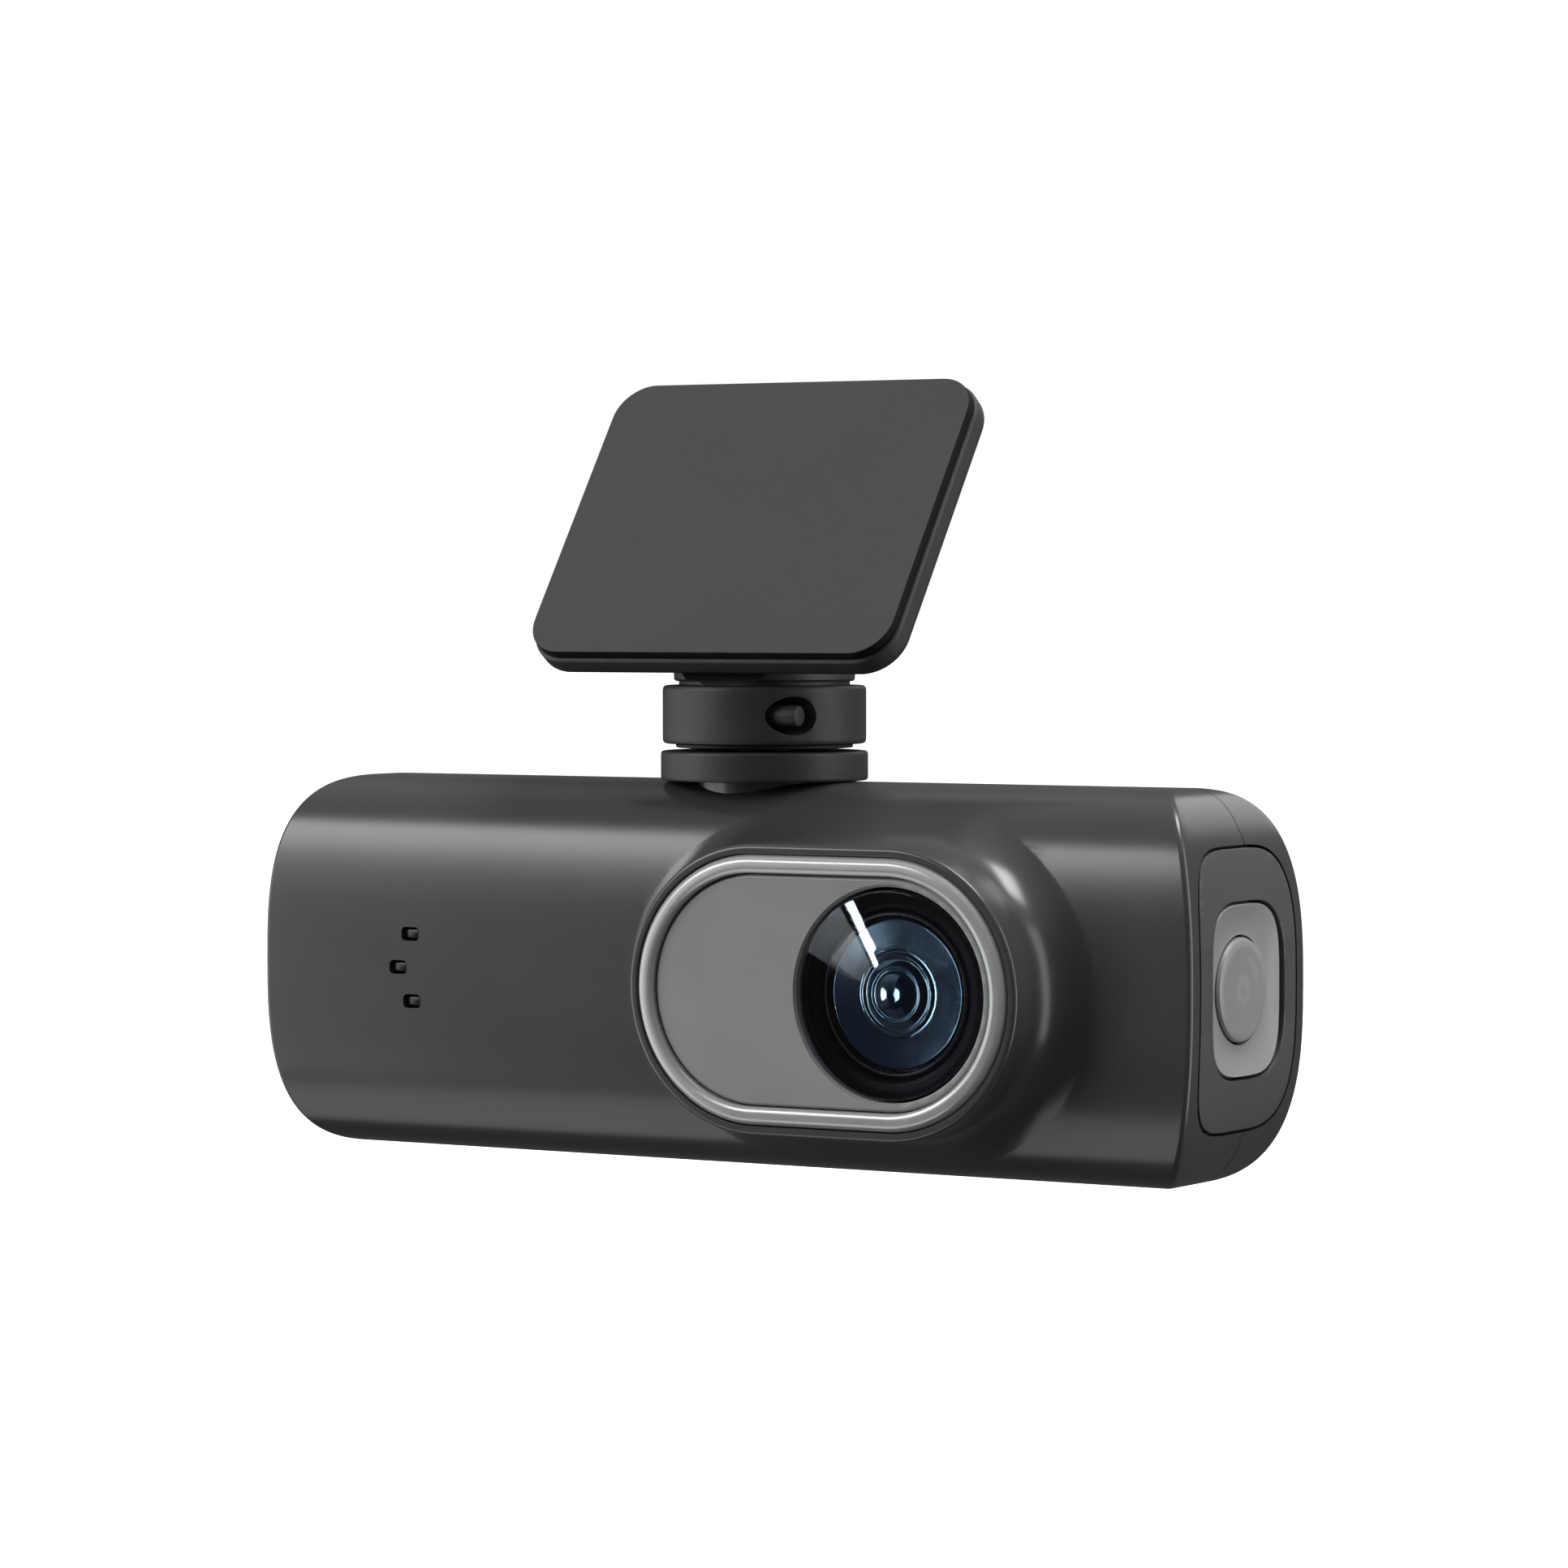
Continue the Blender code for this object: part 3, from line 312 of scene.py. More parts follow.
class Nodes:
    """Short names for the nodes of one material."""

    def __init__(self, name):
        self.material = bpy.data.materials.new(name)
        self.material.use_nodes = True
        self.tree = self.material.node_tree
        self.shader = self.tree.nodes["Principled BSDF"]
        self.place = self.add("ShaderNodeTexCoord").outputs["Object"]

    def add(self, kind, **values):
        made = self.tree.nodes.new(kind)
        for key, value in values.items():
            setattr(made, key, value)
        return made

    def link(self, source, target):
        self.tree.links.new(source, target)

    def noise(self, scale, detail=2.0, stretch=None):
        made = self.add("ShaderNodeTexNoise")
        made.inputs["Scale"].default_value = scale
        made.inputs["Detail"].default_value = detail
        place = self.place
        if stretch:
            mapping = self.add("ShaderNodeMapping")
            mapping.inputs["Scale"].default_value = stretch
            self.link(place, mapping.inputs["Vector"])
            place = mapping.outputs["Vector"]
        self.link(place, made.inputs["Vector"])
        return made.outputs["Fac"]

    def span(self, source, low, high, start=0.3, end=0.7):
        made = self.add("ShaderNodeMapRange")
        made.inputs["From Min"].default_value = start
        made.inputs["From Max"].default_value = end
        made.inputs["To Min"].default_value = low
        made.inputs["To Max"].default_value = high
        self.link(source, made.inputs["Value"])
        return made.outputs["Result"]

    def mix(self, factor, first, second):
        made = self.add("ShaderNodeMix", data_type="RGBA")
        for socket, value in ((made.inputs[6], first), (made.inputs[7], second)):
            if isinstance(value, tuple):
                socket.default_value = (*value, 1)
            else:
                self.link(value, socket)
        self.link(factor, made.inputs[0])
        return made.outputs[2]

    def colour(self, source):
        self.link(source, self.shader.inputs["Base Color"])

    def roughness(self, source):
        self.link(source, self.shader.inputs["Roughness"])

    def bump(self, source, strength, depth):
        made = self.add("ShaderNodeBump")
        made.inputs["Strength"].default_value = strength
        made.inputs["Distance"].default_value = depth
        self.link(source, made.inputs["Height"])
        self.link(made.outputs["Normal"], self.shader.inputs["Normal"])

    def set(self, **values):
        for key, value in values.items():
            self.shader.inputs[key.replace("_", " ")].default_value = value


def set_stops(ramp, stops):
    """Gives a colour ramp its stops, as position and colour pairs. The first two are its ends."""
    elements = ramp.color_ramp.elements
    for index, (position, colour) in enumerate(stops):
        stop = elements[index] if index < 2 else elements.new(position)
        stop.position = position
        stop.color = (*colour, 1)


def grey_stops(stops):
    return [(position, (strength,) * 3) for position, strength in stops]


def shade_of(colour, factor):
    return tuple(channel * factor for channel in colour)


def plastic(
    name, colour, rough, grain=7000, grain_strength=0.12, specular=0.5, wear=1.5, spread=0.035
):
    """Moulded plastic: spark-eroded grain, soft mottling, and edges rubbed lighter by wear."""
    made = Nodes(name)
    made.set(Specular_IOR_Level=specular)
    mottled = made.mix(
        made.span(made.noise(MOTTLE, 3), 0, 1), shade_of(colour, 0.94), shade_of(colour, 1.06)
    )
    sharp = made.add("ShaderNodeNewGeometry").outputs["Pointiness"]
    edge = made.span(sharp, 0, 0.5, 0.53, 0.62)
    made.colour(made.mix(edge, mottled, shade_of(colour, wear)))
    made.roughness(made.span(made.noise(SMUDGE, 4), rough - spread, rough + spread))
    made.bump(made.noise(grain, 3), grain_strength, GRAIN_DEPTH)
    return made.material


def metal(name, colour, rough, stretch=(1, 1, 1)):
    """Bright metal with fine brushing and faint smudges."""
    made = Nodes(name)
    made.set(Metallic=1.0)
    made.colour(
        made.mix(made.span(made.noise(140, 3), 0, 1), shade_of(colour, 0.9), colour)
    )
    made.roughness(made.span(made.noise(500, 4), rough - 0.04, rough + 0.06))
    made.bump(made.noise(2500, 2, stretch), 0.02, 0.004 * MM)
    return made.material


def satin_paint(name, colour, rough):
    """Metallic paint: fine flakes that vary the tone, under a satin face."""
    made = Nodes(name)
    made.set(Metallic=0.3)
    made.colour(
        made.mix(made.span(made.noise(9000, 2), 0, 1), shade_of(colour, 0.93), shade_of(colour, 1.07))
    )
    made.roughness(made.span(made.noise(400, 3), rough - 0.03, rough + 0.04))
    made.bump(made.noise(9000, 2), 0.03, 0.005 * MM)
    return made.material


def foam(name, colour, core_and_side_shade):
    """Adhesive foam: a matt film of very fine cells on its face, and its edge painted near-black,
    partly for the foam's dark core and partly as painted shade on the pad's side.
    """
    made = Nodes(name)
    film = made.mix(
        made.span(made.noise(60, 4), 0, 1), shade_of(colour, 0.96), shade_of(colour, 1.04)
    )
    facing = made.add("ShaderNodeVectorMath", operation="DOT_PRODUCT")
    facing.inputs[1].default_value = plate_axes()[1]
    made.link(made.place.node.outputs["Normal"], facing.inputs[0])
    # Faces that turn away from the plate's outward normal take the near-black edge colour: the foam's
    # dark core, with painted shade on the pad's side.
    made.colour(made.mix(made.span(facing.outputs["Value"], 0, 1, 0.9, 0.97), core_and_side_shade, film))
    made.roughness(made.span(made.noise(900, 3), 0.68, 0.8))
    made.set(Specular_IOR_Level=0.2)
    cells = made.add("ShaderNodeTexVoronoi")
    cells.inputs["Scale"].default_value = 3200
    made.link(made.place, cells.inputs["Vector"])
    made.bump(cells.outputs["Distance"], 0.18, 0.03 * MM)
    return made.material


def board(name):
    """Solder mask over woven glass, with lighter copper runs under it."""
    made = Nodes(name)
    runs = made.add("ShaderNodeTexBrick")
    runs.inputs["Scale"].default_value = 260
    runs.inputs["Color1"].default_value = (0.008, 0.075, 0.035, 1)
    runs.inputs["Color2"].default_value = (0.01, 0.095, 0.045, 1)
    runs.inputs["Mortar"].default_value = (0.03, 0.17, 0.07, 1)
    runs.inputs["Mortar Size"].default_value = 0.03
    made.link(made.place, runs.inputs["Vector"])
    made.colour(runs.outputs["Color"])
    made.roughness(made.span(made.noise(700, 2), 0.3, 0.42))
    made.bump(made.noise(2400, 2), 0.1, GRAIN_DEPTH)
    return made.material


def glass(name, tint):
    """Thin clear glass: it passes light straight through, and mirrors a little by its angle."""
    made = Nodes(name)
    clear = made.add("ShaderNodeBsdfTransparent")
    made.link(made.mix(made.noise(200, 2), tint, shade_of(tint, 0.96)), clear.inputs["Color"])
    gloss = made.add("ShaderNodeBsdfGlossy")
    gloss.inputs["Color"].default_value = (0.9, 0.95, 1, 1)
    made.link(made.span(made.noise(350, 3), 0.0, 0.012), gloss.inputs["Roughness"])
    facing = made.add("ShaderNodeLayerWeight")
    facing.inputs["Blend"].default_value = 0.5
    grazing = made.add("ShaderNodeMath", operation="POWER")
    grazing.inputs[1].default_value = 5
    made.link(facing.outputs["Facing"], grazing.inputs[0])
    both = made.add("ShaderNodeMixShader")
    made.link(made.span(grazing.outputs["Value"], 0.012, 1, 0, 1), both.inputs["Fac"])
    made.link(clear.outputs["BSDF"], both.inputs[1])
    made.link(gloss.outputs["BSDF"], both.inputs[2])
    made.link(both.outputs["Shader"], made.tree.nodes["Material Output"].inputs["Surface"])
    made.tree.nodes.remove(made.shader)
    return made.material


LENS_TINT_REACH = 7.5 * MM
# The lens coating's tints by radius in millimetres, with lighter bands near 0.9, 2.5 and 6.9 mm
# painted in as reflections of the inner elements. The first two are the ramp's ends.
LENS_TINTS_AND_PAINTED_RINGS = (
    (0.0, (0.0002, 0.0006, 0.0015)),
    (7.4, (0.0006, 0.0008, 0.002)),
    (0.9, (0.0003, 0.0015, 0.003)),
    (1.6, (0.0002, 0.0005, 0.0015)),
    (2.5, (0.001, 0.004, 0.007)),
    (3.0, (0.0002, 0.0004, 0.001)),
    (6.9, (0.001, 0.0014, 0.0035)),
    (6.901, (0.001265, 0.001715, 0.003871)),
)


def coated_lens(name, tints_and_painted_rings):
    """Dark coated glass whose tint changes from ring to ring about the lens axis; its lighter rings
    are painted reflections of the inner elements.
    """
    made = Nodes(name)
    shift = made.add("ShaderNodeMapping")
    shift.inputs["Location"].default_value = -at(LENS_X, 0, LENS_Z)
    made.link(made.place, shift.inputs["Vector"])
    flat = made.add("ShaderNodeVectorMath", operation="MULTIPLY")
    flat.inputs[1].default_value = (1, 0, 1)
    made.link(shift.outputs["Vector"], flat.inputs[0])
    length = made.add("ShaderNodeVectorMath", operation="LENGTH")
    made.link(flat.outputs["Vector"], length.inputs[0])
    ramp = made.add("ShaderNodeValToRGB")
    made.link(made.span(length.outputs["Value"], 0, 1, 0, LENS_TINT_REACH), ramp.inputs["Fac"])
    # The ramp's lighter bands are painted reflection, not the coating's own colour.
    set_stops(ramp, [(radius * MM / LENS_TINT_REACH, colour) for radius, colour in tints_and_painted_rings])
    patchy = made.span(made.noise(240, 2), 0, 1)
    faint = made.span(patchy, 0, 0.15, 0, 1)
    made.colour(made.mix(faint, ramp.outputs["Color"], (0.001, 0.002, 0.006)))
    made.set(IOR=1.24, Specular_Tint=(0.5, 0.8, 1.0, 1))
    made.roughness(made.span(made.noise(300, 2), 0.05, 0.08))
    return made.material


CHARCOAL = plastic("charcoal_satin", (0.05, 0.051, 0.051), 0.25, 5200, 0.05, wear=1.0, spread=0.004)
MOUNT_BLACK = plastic("mount_satin", (0.03, 0.031, 0.031), 0.5, specular=0.35)
COVER_GREY = plastic("cover_grey", (0.062, 0.064, 0.064), 0.42, 5200, 0.08, wear=1.0, spread=0.008)
PANEL_GREY = plastic("panel_grey", (0.27, 0.275, 0.28), 0.36, 5200, 0.05)
LIGHT_GREY = plastic("button_grey", (0.24, 0.245, 0.248), 0.42)
INNER_BLACK = plastic("inner_black", (0.0008, 0.0008, 0.0014), 0.3, 4000, 0.05, 0.05)
SATIN_BLACK = plastic("satin_black", (0.006, 0.006, 0.008), 0.28, 5000, 0.05, 0.4)
CHIP = plastic("chip_epoxy", (0.015, 0.015, 0.017), 0.55, 3000, 0.2)
SLEEVE = plastic("capacitor_sleeve", (0.012, 0.022, 0.08), 0.3, 2500, 0.05)
SILVER = satin_paint("satin_trim", (0.44, 0.45, 0.455), 0.24)
STEEL = metal("steel", (0.5, 0.51, 0.52), 0.3, (1, 12, 1))
COPPER = metal("copper_film", (0.72, 0.38, 0.22), 0.35)
# The last colour is the pad's near-black edge: the foam's core, with painted shade on its side.
FOAM = foam("adhesive_film", (0.06, 0.061, 0.061), (0.001, 0.001, 0.001))
BOARD = board("solder_mask")
CLEAR = glass("cover_clear", (0.93, 0.95, 0.98))
LENS = coated_lens("coated_lens", LENS_TINTS_AND_PAINTED_RINGS)


def finish(shape, look, body, node, angle=28):
    """Gives a piece its material, ties it to its body, and hides the node that it stands for."""
    shape.data.materials.clear()
    shape.data.materials.append(look)
    shape.data.shade_smooth()
    shape.data.set_sharp_from_angle(angle=math.radians(angle))
    even = shape.modifiers.new("even", "WEIGHTED_NORMAL")
    even.keep_sharp = True
    settle(shape)
    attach(shape, body)
    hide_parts(node)


# ---- The body: level slices are rectangles with small round corners, so the crease stays crisp.


def body_skin(name, half_length, half_depth, half_height, corner, rows=56, columns=44):
    rings = []
    corner_steps = 6
    side_steps = 14
    for row in range(-rows, rows + 1):
        angle = math.pi / 2 * row / rows
        rise = math.copysign(abs(math.sin(angle)) ** (2 / SECTION_POWER), angle)
        depth = half_depth * max(0, 1 - abs(rise) ** SECTION_POWER) ** (1 / SECTION_POWER)
        depth = max(depth, SLIVER)
        reach = max(0, 1 - abs(rise) ** END_POWER) ** (1 / END_POWER)
        length = half_length - END_ROUND + END_ROUND * reach
        radius = min(corner, 0.45 * depth)
        ring = []
        for index, (sx, sy) in enumerate(QUADRANTS):
            for step in range(corner_steps + 1):
                turn = math.pi / 2 * (index + step / corner_steps)
                x = sx * (length - radius) + radius * math.cos(turn)
                y = sy * (depth - radius) + radius * math.sin(turn)
                ring.append((x, y))
            steps = columns if index in (0, 2) else side_steps
            following = QUADRANTS[(index + 1) % 4]
            turn = math.pi / 2 * (index + 1)
            start = Vector(ring[-1])
            end = Vector(
                (
                    following[0] * (length - radius) + radius * math.cos(turn),
                    following[1] * (depth - radius) + radius * math.sin(turn),
                )
            )
            for step in range(1, steps):
                between = start.lerp(end, step / steps)
                ring.append((between.x, between.y))
        z = HALF_HEIGHT + half_height * rise
        rings.append([at(x, BACKSET + y, z) for x, y in ring])
    return ring_mesh(name, rings)


def outer_form(name):
    return body_skin(name, HALF_LENGTH, HALF_DEPTH, HALF_HEIGHT, EDGE_ROUND)


def cavity(name):
    return body_skin(
        name, HALF_LENGTH - END_WALL, HALF_DEPTH - WALL, HALF_HEIGHT - WALL, EDGE_ROUND, 20, 8
    )


def front_surface(z):
    rise = min(abs(z - HALF_HEIGHT) / HALF_HEIGHT, 1)
    return BACKSET - HALF_DEPTH * (1 - rise**SECTION_POWER) ** (1 / SECTION_POWER)


def stadium_frame(steps=48, straight=6):
    """Arc centre and outward direction round the stadium, in X and Z."""
    found = []
    ends = ((LENS_X, BOSS_LEFT_X, -math.pi / 2), (BOSS_LEFT_X, LENS_X, math.pi / 2))
    for centre, other, start in ends:
        for step in range(steps + 1):
            angle = start + math.pi * step / steps
            found.append((centre, math.cos(angle), math.sin(angle)))
        for step in range(1, straight):
            x = centre + (other - centre) * step / straight
            found.append((x, 0.0, math.sin(start + math.pi)))
    return found


def stadium_solid(name, profile, closed=False):
    """A profile of radius and Y pairs carried round the stadium."""
    rings = []
    for radius, y in profile:
        rings.append(
            [at(x + radius * cx, y, LENS_Z + radius * cz) for x, cx, cz in stadium_frame()]
        )
    return ring_mesh(name, rings, closed)


def lens_boss():
    """The stadium boss, with a concave flare that runs out along the body's own surface."""
    flare_steps = 20
    edge_steps = 5
    edge = 0.45 * MM
    sink = 0.03 * MM
    root = -4 * MM
    paths = []
    for x, cx, cz in stadium_frame():
        width = FLARE_SIDE - (FLARE_SIDE - FLARE_TOP) * cz * cz
        path = []
        for step in range(edge_steps + 1):
            angle = math.pi / 2 * step / edge_steps
            radius = BOSS_RADIUS - edge + edge * math.sin(angle)
            path.append((radius, BOSS_FACE_Y + edge - edge * math.cos(angle)))
        for step in range(flare_steps + 1):
            angle = math.pi / 2 * step / flare_steps
            radius = BOSS_RADIUS + width - width * math.cos(angle)
            lift = (width + sink) * (1 - math.sin(angle)) - sink
            path.append((radius, front_surface(LENS_Z + radius * cz) - lift))
        far = BOSS_RADIUS + width
        path.append((far, front_surface(LENS_Z + far * cz) + 1.0 * MM))
        path += [(far, root), (far - 2 * MM, root)]
        paths.append([at(x + radius * cx, y, LENS_Z + radius * cz) for radius, y in path])
    return ring_mesh("boss", list(zip(*paths)))


def end_pocket(side):
    outline = superellipse(COVER_HALF[0] + GAP, COVER_HALF[1] + GAP, COVER_POWER)
    low, high = sorted((side * POCKET_X, side * FAR))
    return prism("pocket", "X", outline, BODY_MIDDLE, low, high)


def mouths():
    """The card slot and the inlet's hole, at the left-hand end."""
    inner = -46 * MM
    thick = 0.95 * MM
    wide = 5.9 * MM
    card = box(
        "card_mouth",
        (-FAR, CARD_Y - thick, CARD_Z - wide),
        (inner, CARD_Y + thick, CARD_Z + wide),
    )
    outline = rounded_rectangle(1.9 * MM, 4.8 * MM, 1.6 * MM)
    return card, prism("inlet_mouth", "X", outline, USB, -FAR, inner)


def pillars(low, high, radius):
    """Cylinders at the four case screws: the bosses, and the bores in them."""
    return [
        cylinder("pillar", "Y", (x, z), low, high, radius, 40)
        for x in (-SCREW_X, SCREW_X)
        for z in SCREW_Z
    ]


def common_cuts():
    """The end pockets, and the holes for the swivel, its flange, the button's stem and the ports."""
    return [
        end_pocket(1),
        end_pocket(-1),
        cylinder("swivel_hole", "Z", SWIVEL, 34.2 * MM, 45 * MM, 5.5 * MM),
        cylinder("flange_room", "Z", SWIVEL, 31 * MM, 36.0 * MM, 6.7 * MM),
        cylinder("button_hole", "X", BODY_MIDDLE, 40 * MM, FAR, 2.4 * MM),
        *mouths(),
    ]


def seat():
    """The raised ring that the swivel's base disc stands on."""
    return cylinder("seat", "Z", SWIVEL, 30 * MM, 38.2 * MM, 6.6 * MM, 96)


def front_casing():
    shell = outer_form("front_casing")
    join(shell, lens_boss(), seat())
    cut(shell, cavity("hollow"))
    cut(shell, box("rear_half", (-FAR, PARTING_Y, -FAR), (FAR, FAR, FAR)))
    join(shell, *pillars(-7.6 * MM, PARTING_Y - GAP, 2.4 * MM))
    cut(shell, *pillars(-4 * MM, 5 * MM, 1.25 * MM))
    face = BOSS_FACE_Y
    lead = 0.12 * MM
    pocket = [(RING_POCKET, face - 1 * MM), (RING_POCKET, face)]
    pocket += [(RING_POCKET - lead, face + lead), (RING_POCKET - lead, LEDGE_Y)]
    cut(
        shell,
        stadium_solid("ring_pocket", pocket),
        stadium_solid("opening", [(10.6 * MM, face), (10.6 * MM, -6 * MM)]),
        *common_cuts(),
    )
    for _, x, z in INDICATORS:
        outline = rounded_rectangle(1.05 * MM, 0.7 * MM, 0.45 * MM)
        cut(shell, prism("indicator_hole", "Y", outline, (x, z), -15 * MM, -6 * MM))
    finish(shell, CHARCOAL, "camera", "front_shell")


def slot(x, z, half_width, half_height):
    """A round-ended slot through the back wall."""
    outline = rounded_rectangle(half_width, half_height, half_width * 0.99)
    return prism("slot", "Y", outline, (x, z), 8 * MM, 16 * MM)


# The speaker's grille and the vents: the middle slot and the first one, and their pitch, in mm.
GRILLE_X, GRILLE_PITCH = -28, 2.6
VENT_X, VENT_PITCH = -6, 5


def rear_casing():
    shell = outer_form("rear_casing")
    join(shell, seat())
    cut(shell, cavity("hollow"))
    cut(shell, box("front_half", (-FAR, -FAR, -FAR), (FAR, PARTING_Y + SEAM, FAR)))
    join(shell, *pillars(PARTING_Y + 2 * GAP, 9.4 * MM, 3.0 * MM))
    cut(shell, *pillars(0, 12 * MM, 1.4 * MM))
    cut(shell, *pillars(8.8 * MM, 16 * MM, 2.3 * MM))
    cut(shell, *common_cuts())
    for i in range(-2, 3):
        half_height = (5.2 - 0.55 * i**2) * MM
        cut(shell, slot((GRILLE_X + GRILLE_PITCH * i) * MM, HALF_HEIGHT, 0.6 * MM, half_height))
    for i in range(8):
        cut(shell, slot((VENT_X + VENT_PITCH * i) * MM, 25 * MM, 0.7 * MM, 3.4 * MM))
    finish(shell, CHARCOAL, "camera", "rear_shell")


# ---- The ends.


def end_cover(name, side):
    cover = outer_form(name)
    low, high = sorted((side * (POCKET_X + GAP), side * FAR))
    outline = superellipse(*COVER_HALF, COVER_POWER)
    boolean(cover, "INTERSECT", prism("edge", "X", outline, BODY_MIDDLE, low, high))
    return cover


def end_covers():
    edge = 0.16 * MM
    right = end_cover("right_cover", 1)
    outline = superellipse(SURROUND_HALF[0] + GAP, SURROUND_HALF[1] + GAP, SURROUND_POWER)
    cut(
        right,
        prism("surround_pocket", "X", outline, BODY_MIDDLE, 51.3 * MM, FAR),
        cylinder("cover_hole", "X", BODY_MIDDLE, 45 * MM, FAR, BUTTON_RADIUS + 0.6 * MM),
    )
    bevel(right, edge, 2)
    finish(right, COVER_GREY, "camera", "right_end_cover")
    left = end_cover("left_cover", -1)
    reach = 4 * MM
    thumb = cylinder(
        "thumb", "Z", (-55.6 * MM, CARD_Y), CARD_Z - reach, CARD_Z + reach, reach
    )
    cut(left, *mouths(), thumb)
    bevel(left, edge, 2)
    finish(left, COVER_GREY, "camera", "left_end_cover")


def button_surround():
    """A dish that sinks from its squarish rim to the round hole."""
    steps = 160
    rim = superellipse(*SURROUND_HALF, SURROUND_POWER, steps // 4)
    hole = [point[:2] for point in circle(BUTTON_RADIUS + 0.25 * MM, steps)]
    low = 51.6 * MM
    top = 53.0 * MM
    depth = 0.62 * MM
    levels = [(1.0, low), (1.0, top - 0.25 * MM), (0.995, top - 0.1 * MM), (0.975, top)]
    for step in range(1, 11):
        t = step / 10
        levels.append((0.975 * (1 - t), top - depth * math.sin(math.pi / 2 * t)))
    levels.append((0.0, low))
    rings = []
    for share, x in levels:
        ring = []
        for (hy, hz), (ry, rz) in zip(hole, rim):
            ring.append(at(x, BACKSET + hy + (ry - hy) * share, HALF_HEIGHT + hz + (rz - hz) * share))
        rings.append(ring)
    dish = ring_mesh("button_dish", rings, closed=True)
    finish(dish, LIGHT_GREY, "camera", "button_surround")


def power_button():
    face = BUTTON_FACE_X
    rear = face - 1.8 * MM
    profile = [(0.0, face - 0.12 * MM)]
    profile += [(r * MM, face - (0.12 - 0.0035 * r * r) * MM) for r in (1, 2, 3, 4)]
    profile += [(4.6 * MM, face - 0.06 * MM), (4.85 * MM, face - 0.18 * MM)]
    profile += [(BUTTON_RADIUS, face - 0.45 * MM), (BUTTON_RADIUS, rear)]
    profile += [(2.0 * MM, rear), (2.0 * MM, 49.0 * MM), (0.0, 49.0 * MM)]
    cap = turned("button_cap", "X", at(0, BACKSET, HALF_HEIGHT), profile, 96, closed=False)
    finish(cap, LIGHT_GREY, "button", "power_button")


# ---- The lens front.


def lens_front():
    rear = LEDGE_Y - GAP
    crown = BOSS_FACE_Y - 0.4 * MM
    profile = soften(
        [
            (RING_OUTER + 0.1 * MM, rear),
            (RING_OUTER + 0.1 * MM, crown + 0.6 * MM),
            (RING_OUTER - 0.4 * MM, crown + 0.06 * MM),
            (RING_INNER + 0.25 * MM, crown),
            (RING_INNER - 0.2 * MM, crown + 0.25 * MM),
            (RING_INNER - 0.2 * MM, rear),
        ],
        0.25 * MM,
    )
    bezel = stadium_solid("bezel", profile, closed=True)
    finish(bezel, SILVER, "camera", "bezel_ring", 50)

    front = -18.2 * MM
    plate = soften(
        [
            (1.0 * MM, rear),
            (11.1 * MM, rear),
            (11.1 * MM, front + 0.2 * MM),
            (10.85 * MM, front),
            (1.0 * MM, front),
        ],
        0.12 * MM,
        closed=False,
    )
    panel = stadium_solid("face_panel", plate)
    bore = [(0.0, 25 * MM), (10.5 * MM, 25 * MM), (10.5 * MM, -front)]
    bore += [(10.25 * MM, -front - 0.25 * MM), (10.25 * MM, 10 * MM), (0.0, 10 * MM)]
    cut(panel, turned("window_hole", "Y", at(LENS_X, 0, LENS_Z), bore, 128, closed=False))
    finish(panel, PANEL_GREY, "camera", "faceplate", 30)


# The front element's face: radius and height in millimetres, from the middle outwards.
LENS_FACE = (
    (0.0, 17.2),
    (0.7, 17.17),
    (1.4, 17.05),
    (2.0, 16.85),
    (2.35, 16.6),
    (2.6, 16.76),
    (2.85, 16.6),
    (3.4, 16.36),
    (3.72, 16.56),
    (4.04, 16.36),
    (4.5, 16.36),
    (7.05, 16.36),
    (7.2, 16.2),
    (7.2, 14.9),
    (0.0, 14.9),
)


def lens_stack():
    centre = at(LENS_X, 0, LENS_Z)
    dome = in_mm((0, 18.25), (9.7, 18.25), (9.85, 18.2), (9.96, 18.08))
    dome += in_mm((10, 17.95), (10, 17.65), (0, 17.65))
    window = turned("window_glass", "Y", centre, dome, 128, closed=False)
    finish(window, CLEAR, "camera", "cover_glass")

    profile = in_mm((8.2, 9.2), (8.2, 16.9), (8.6, 17.1), (9.2, 17.2))
    profile += in_mm((9.3, 17.35), (10, 17.35), (10, 9.2))
    baffle = turned("baffle", "Y", centre, soften(profile, 0.1 * MM), 128)
    finish(baffle, INNER_BLACK, "camera", "lens_baffle")

    profile = in_mm((7.5, 16.75), (7.62, 16.9), (7.9, 16.7), (7.9, 7.4), (6, 7.4))
    profile += in_mm((6, 0.6), (3, 0.6), (3, 14.6), (7.5, 14.6))
    barrel = turned("barrel", "Y", centre, soften(profile, 0.1 * MM), 128)
    finish(barrel, SATIN_BLACK, "camera", "lens_barrel")

    profile = soften(in_mm(*LENS_FACE), 0.12 * MM, closed=False)
    element = turned("front_element", "Y", centre, profile, 160, closed=False)
    finish(element, LENS, "camera", "front_lens", 50)


def indicator_lenses():
    for name, x, z in INDICATORS:
        outline = rounded_rectangle(0.8 * MM, 0.45 * MM, 0.3 * MM)
        lens = prism(f"window_{name}", "Y", outline, (x, z), -10.75 * MM, -7.2 * MM)
        bevel(lens, 0.12 * MM, 2)
        finish(lens, SATIN_BLACK, "camera", f"indicator_{name}")


# ---- The mount.


def swivel_base():
    profile = in_mm((2.8, 41), (10.3, 41), (10.3, 38.06), (6.9, 38.06), (6.9, 38.5))
    profile += in_mm((5.2, 38.5), (5.2, 35.7), (6.3, 35.7), (6.3, 34.8), (2.8, 34.8))
    disc = turned("base_disc", "Z", DATUM, soften(profile, 0.35 * MM), 128)
    finish(disc, MOUNT_BLACK, "camera", "swivel_base")


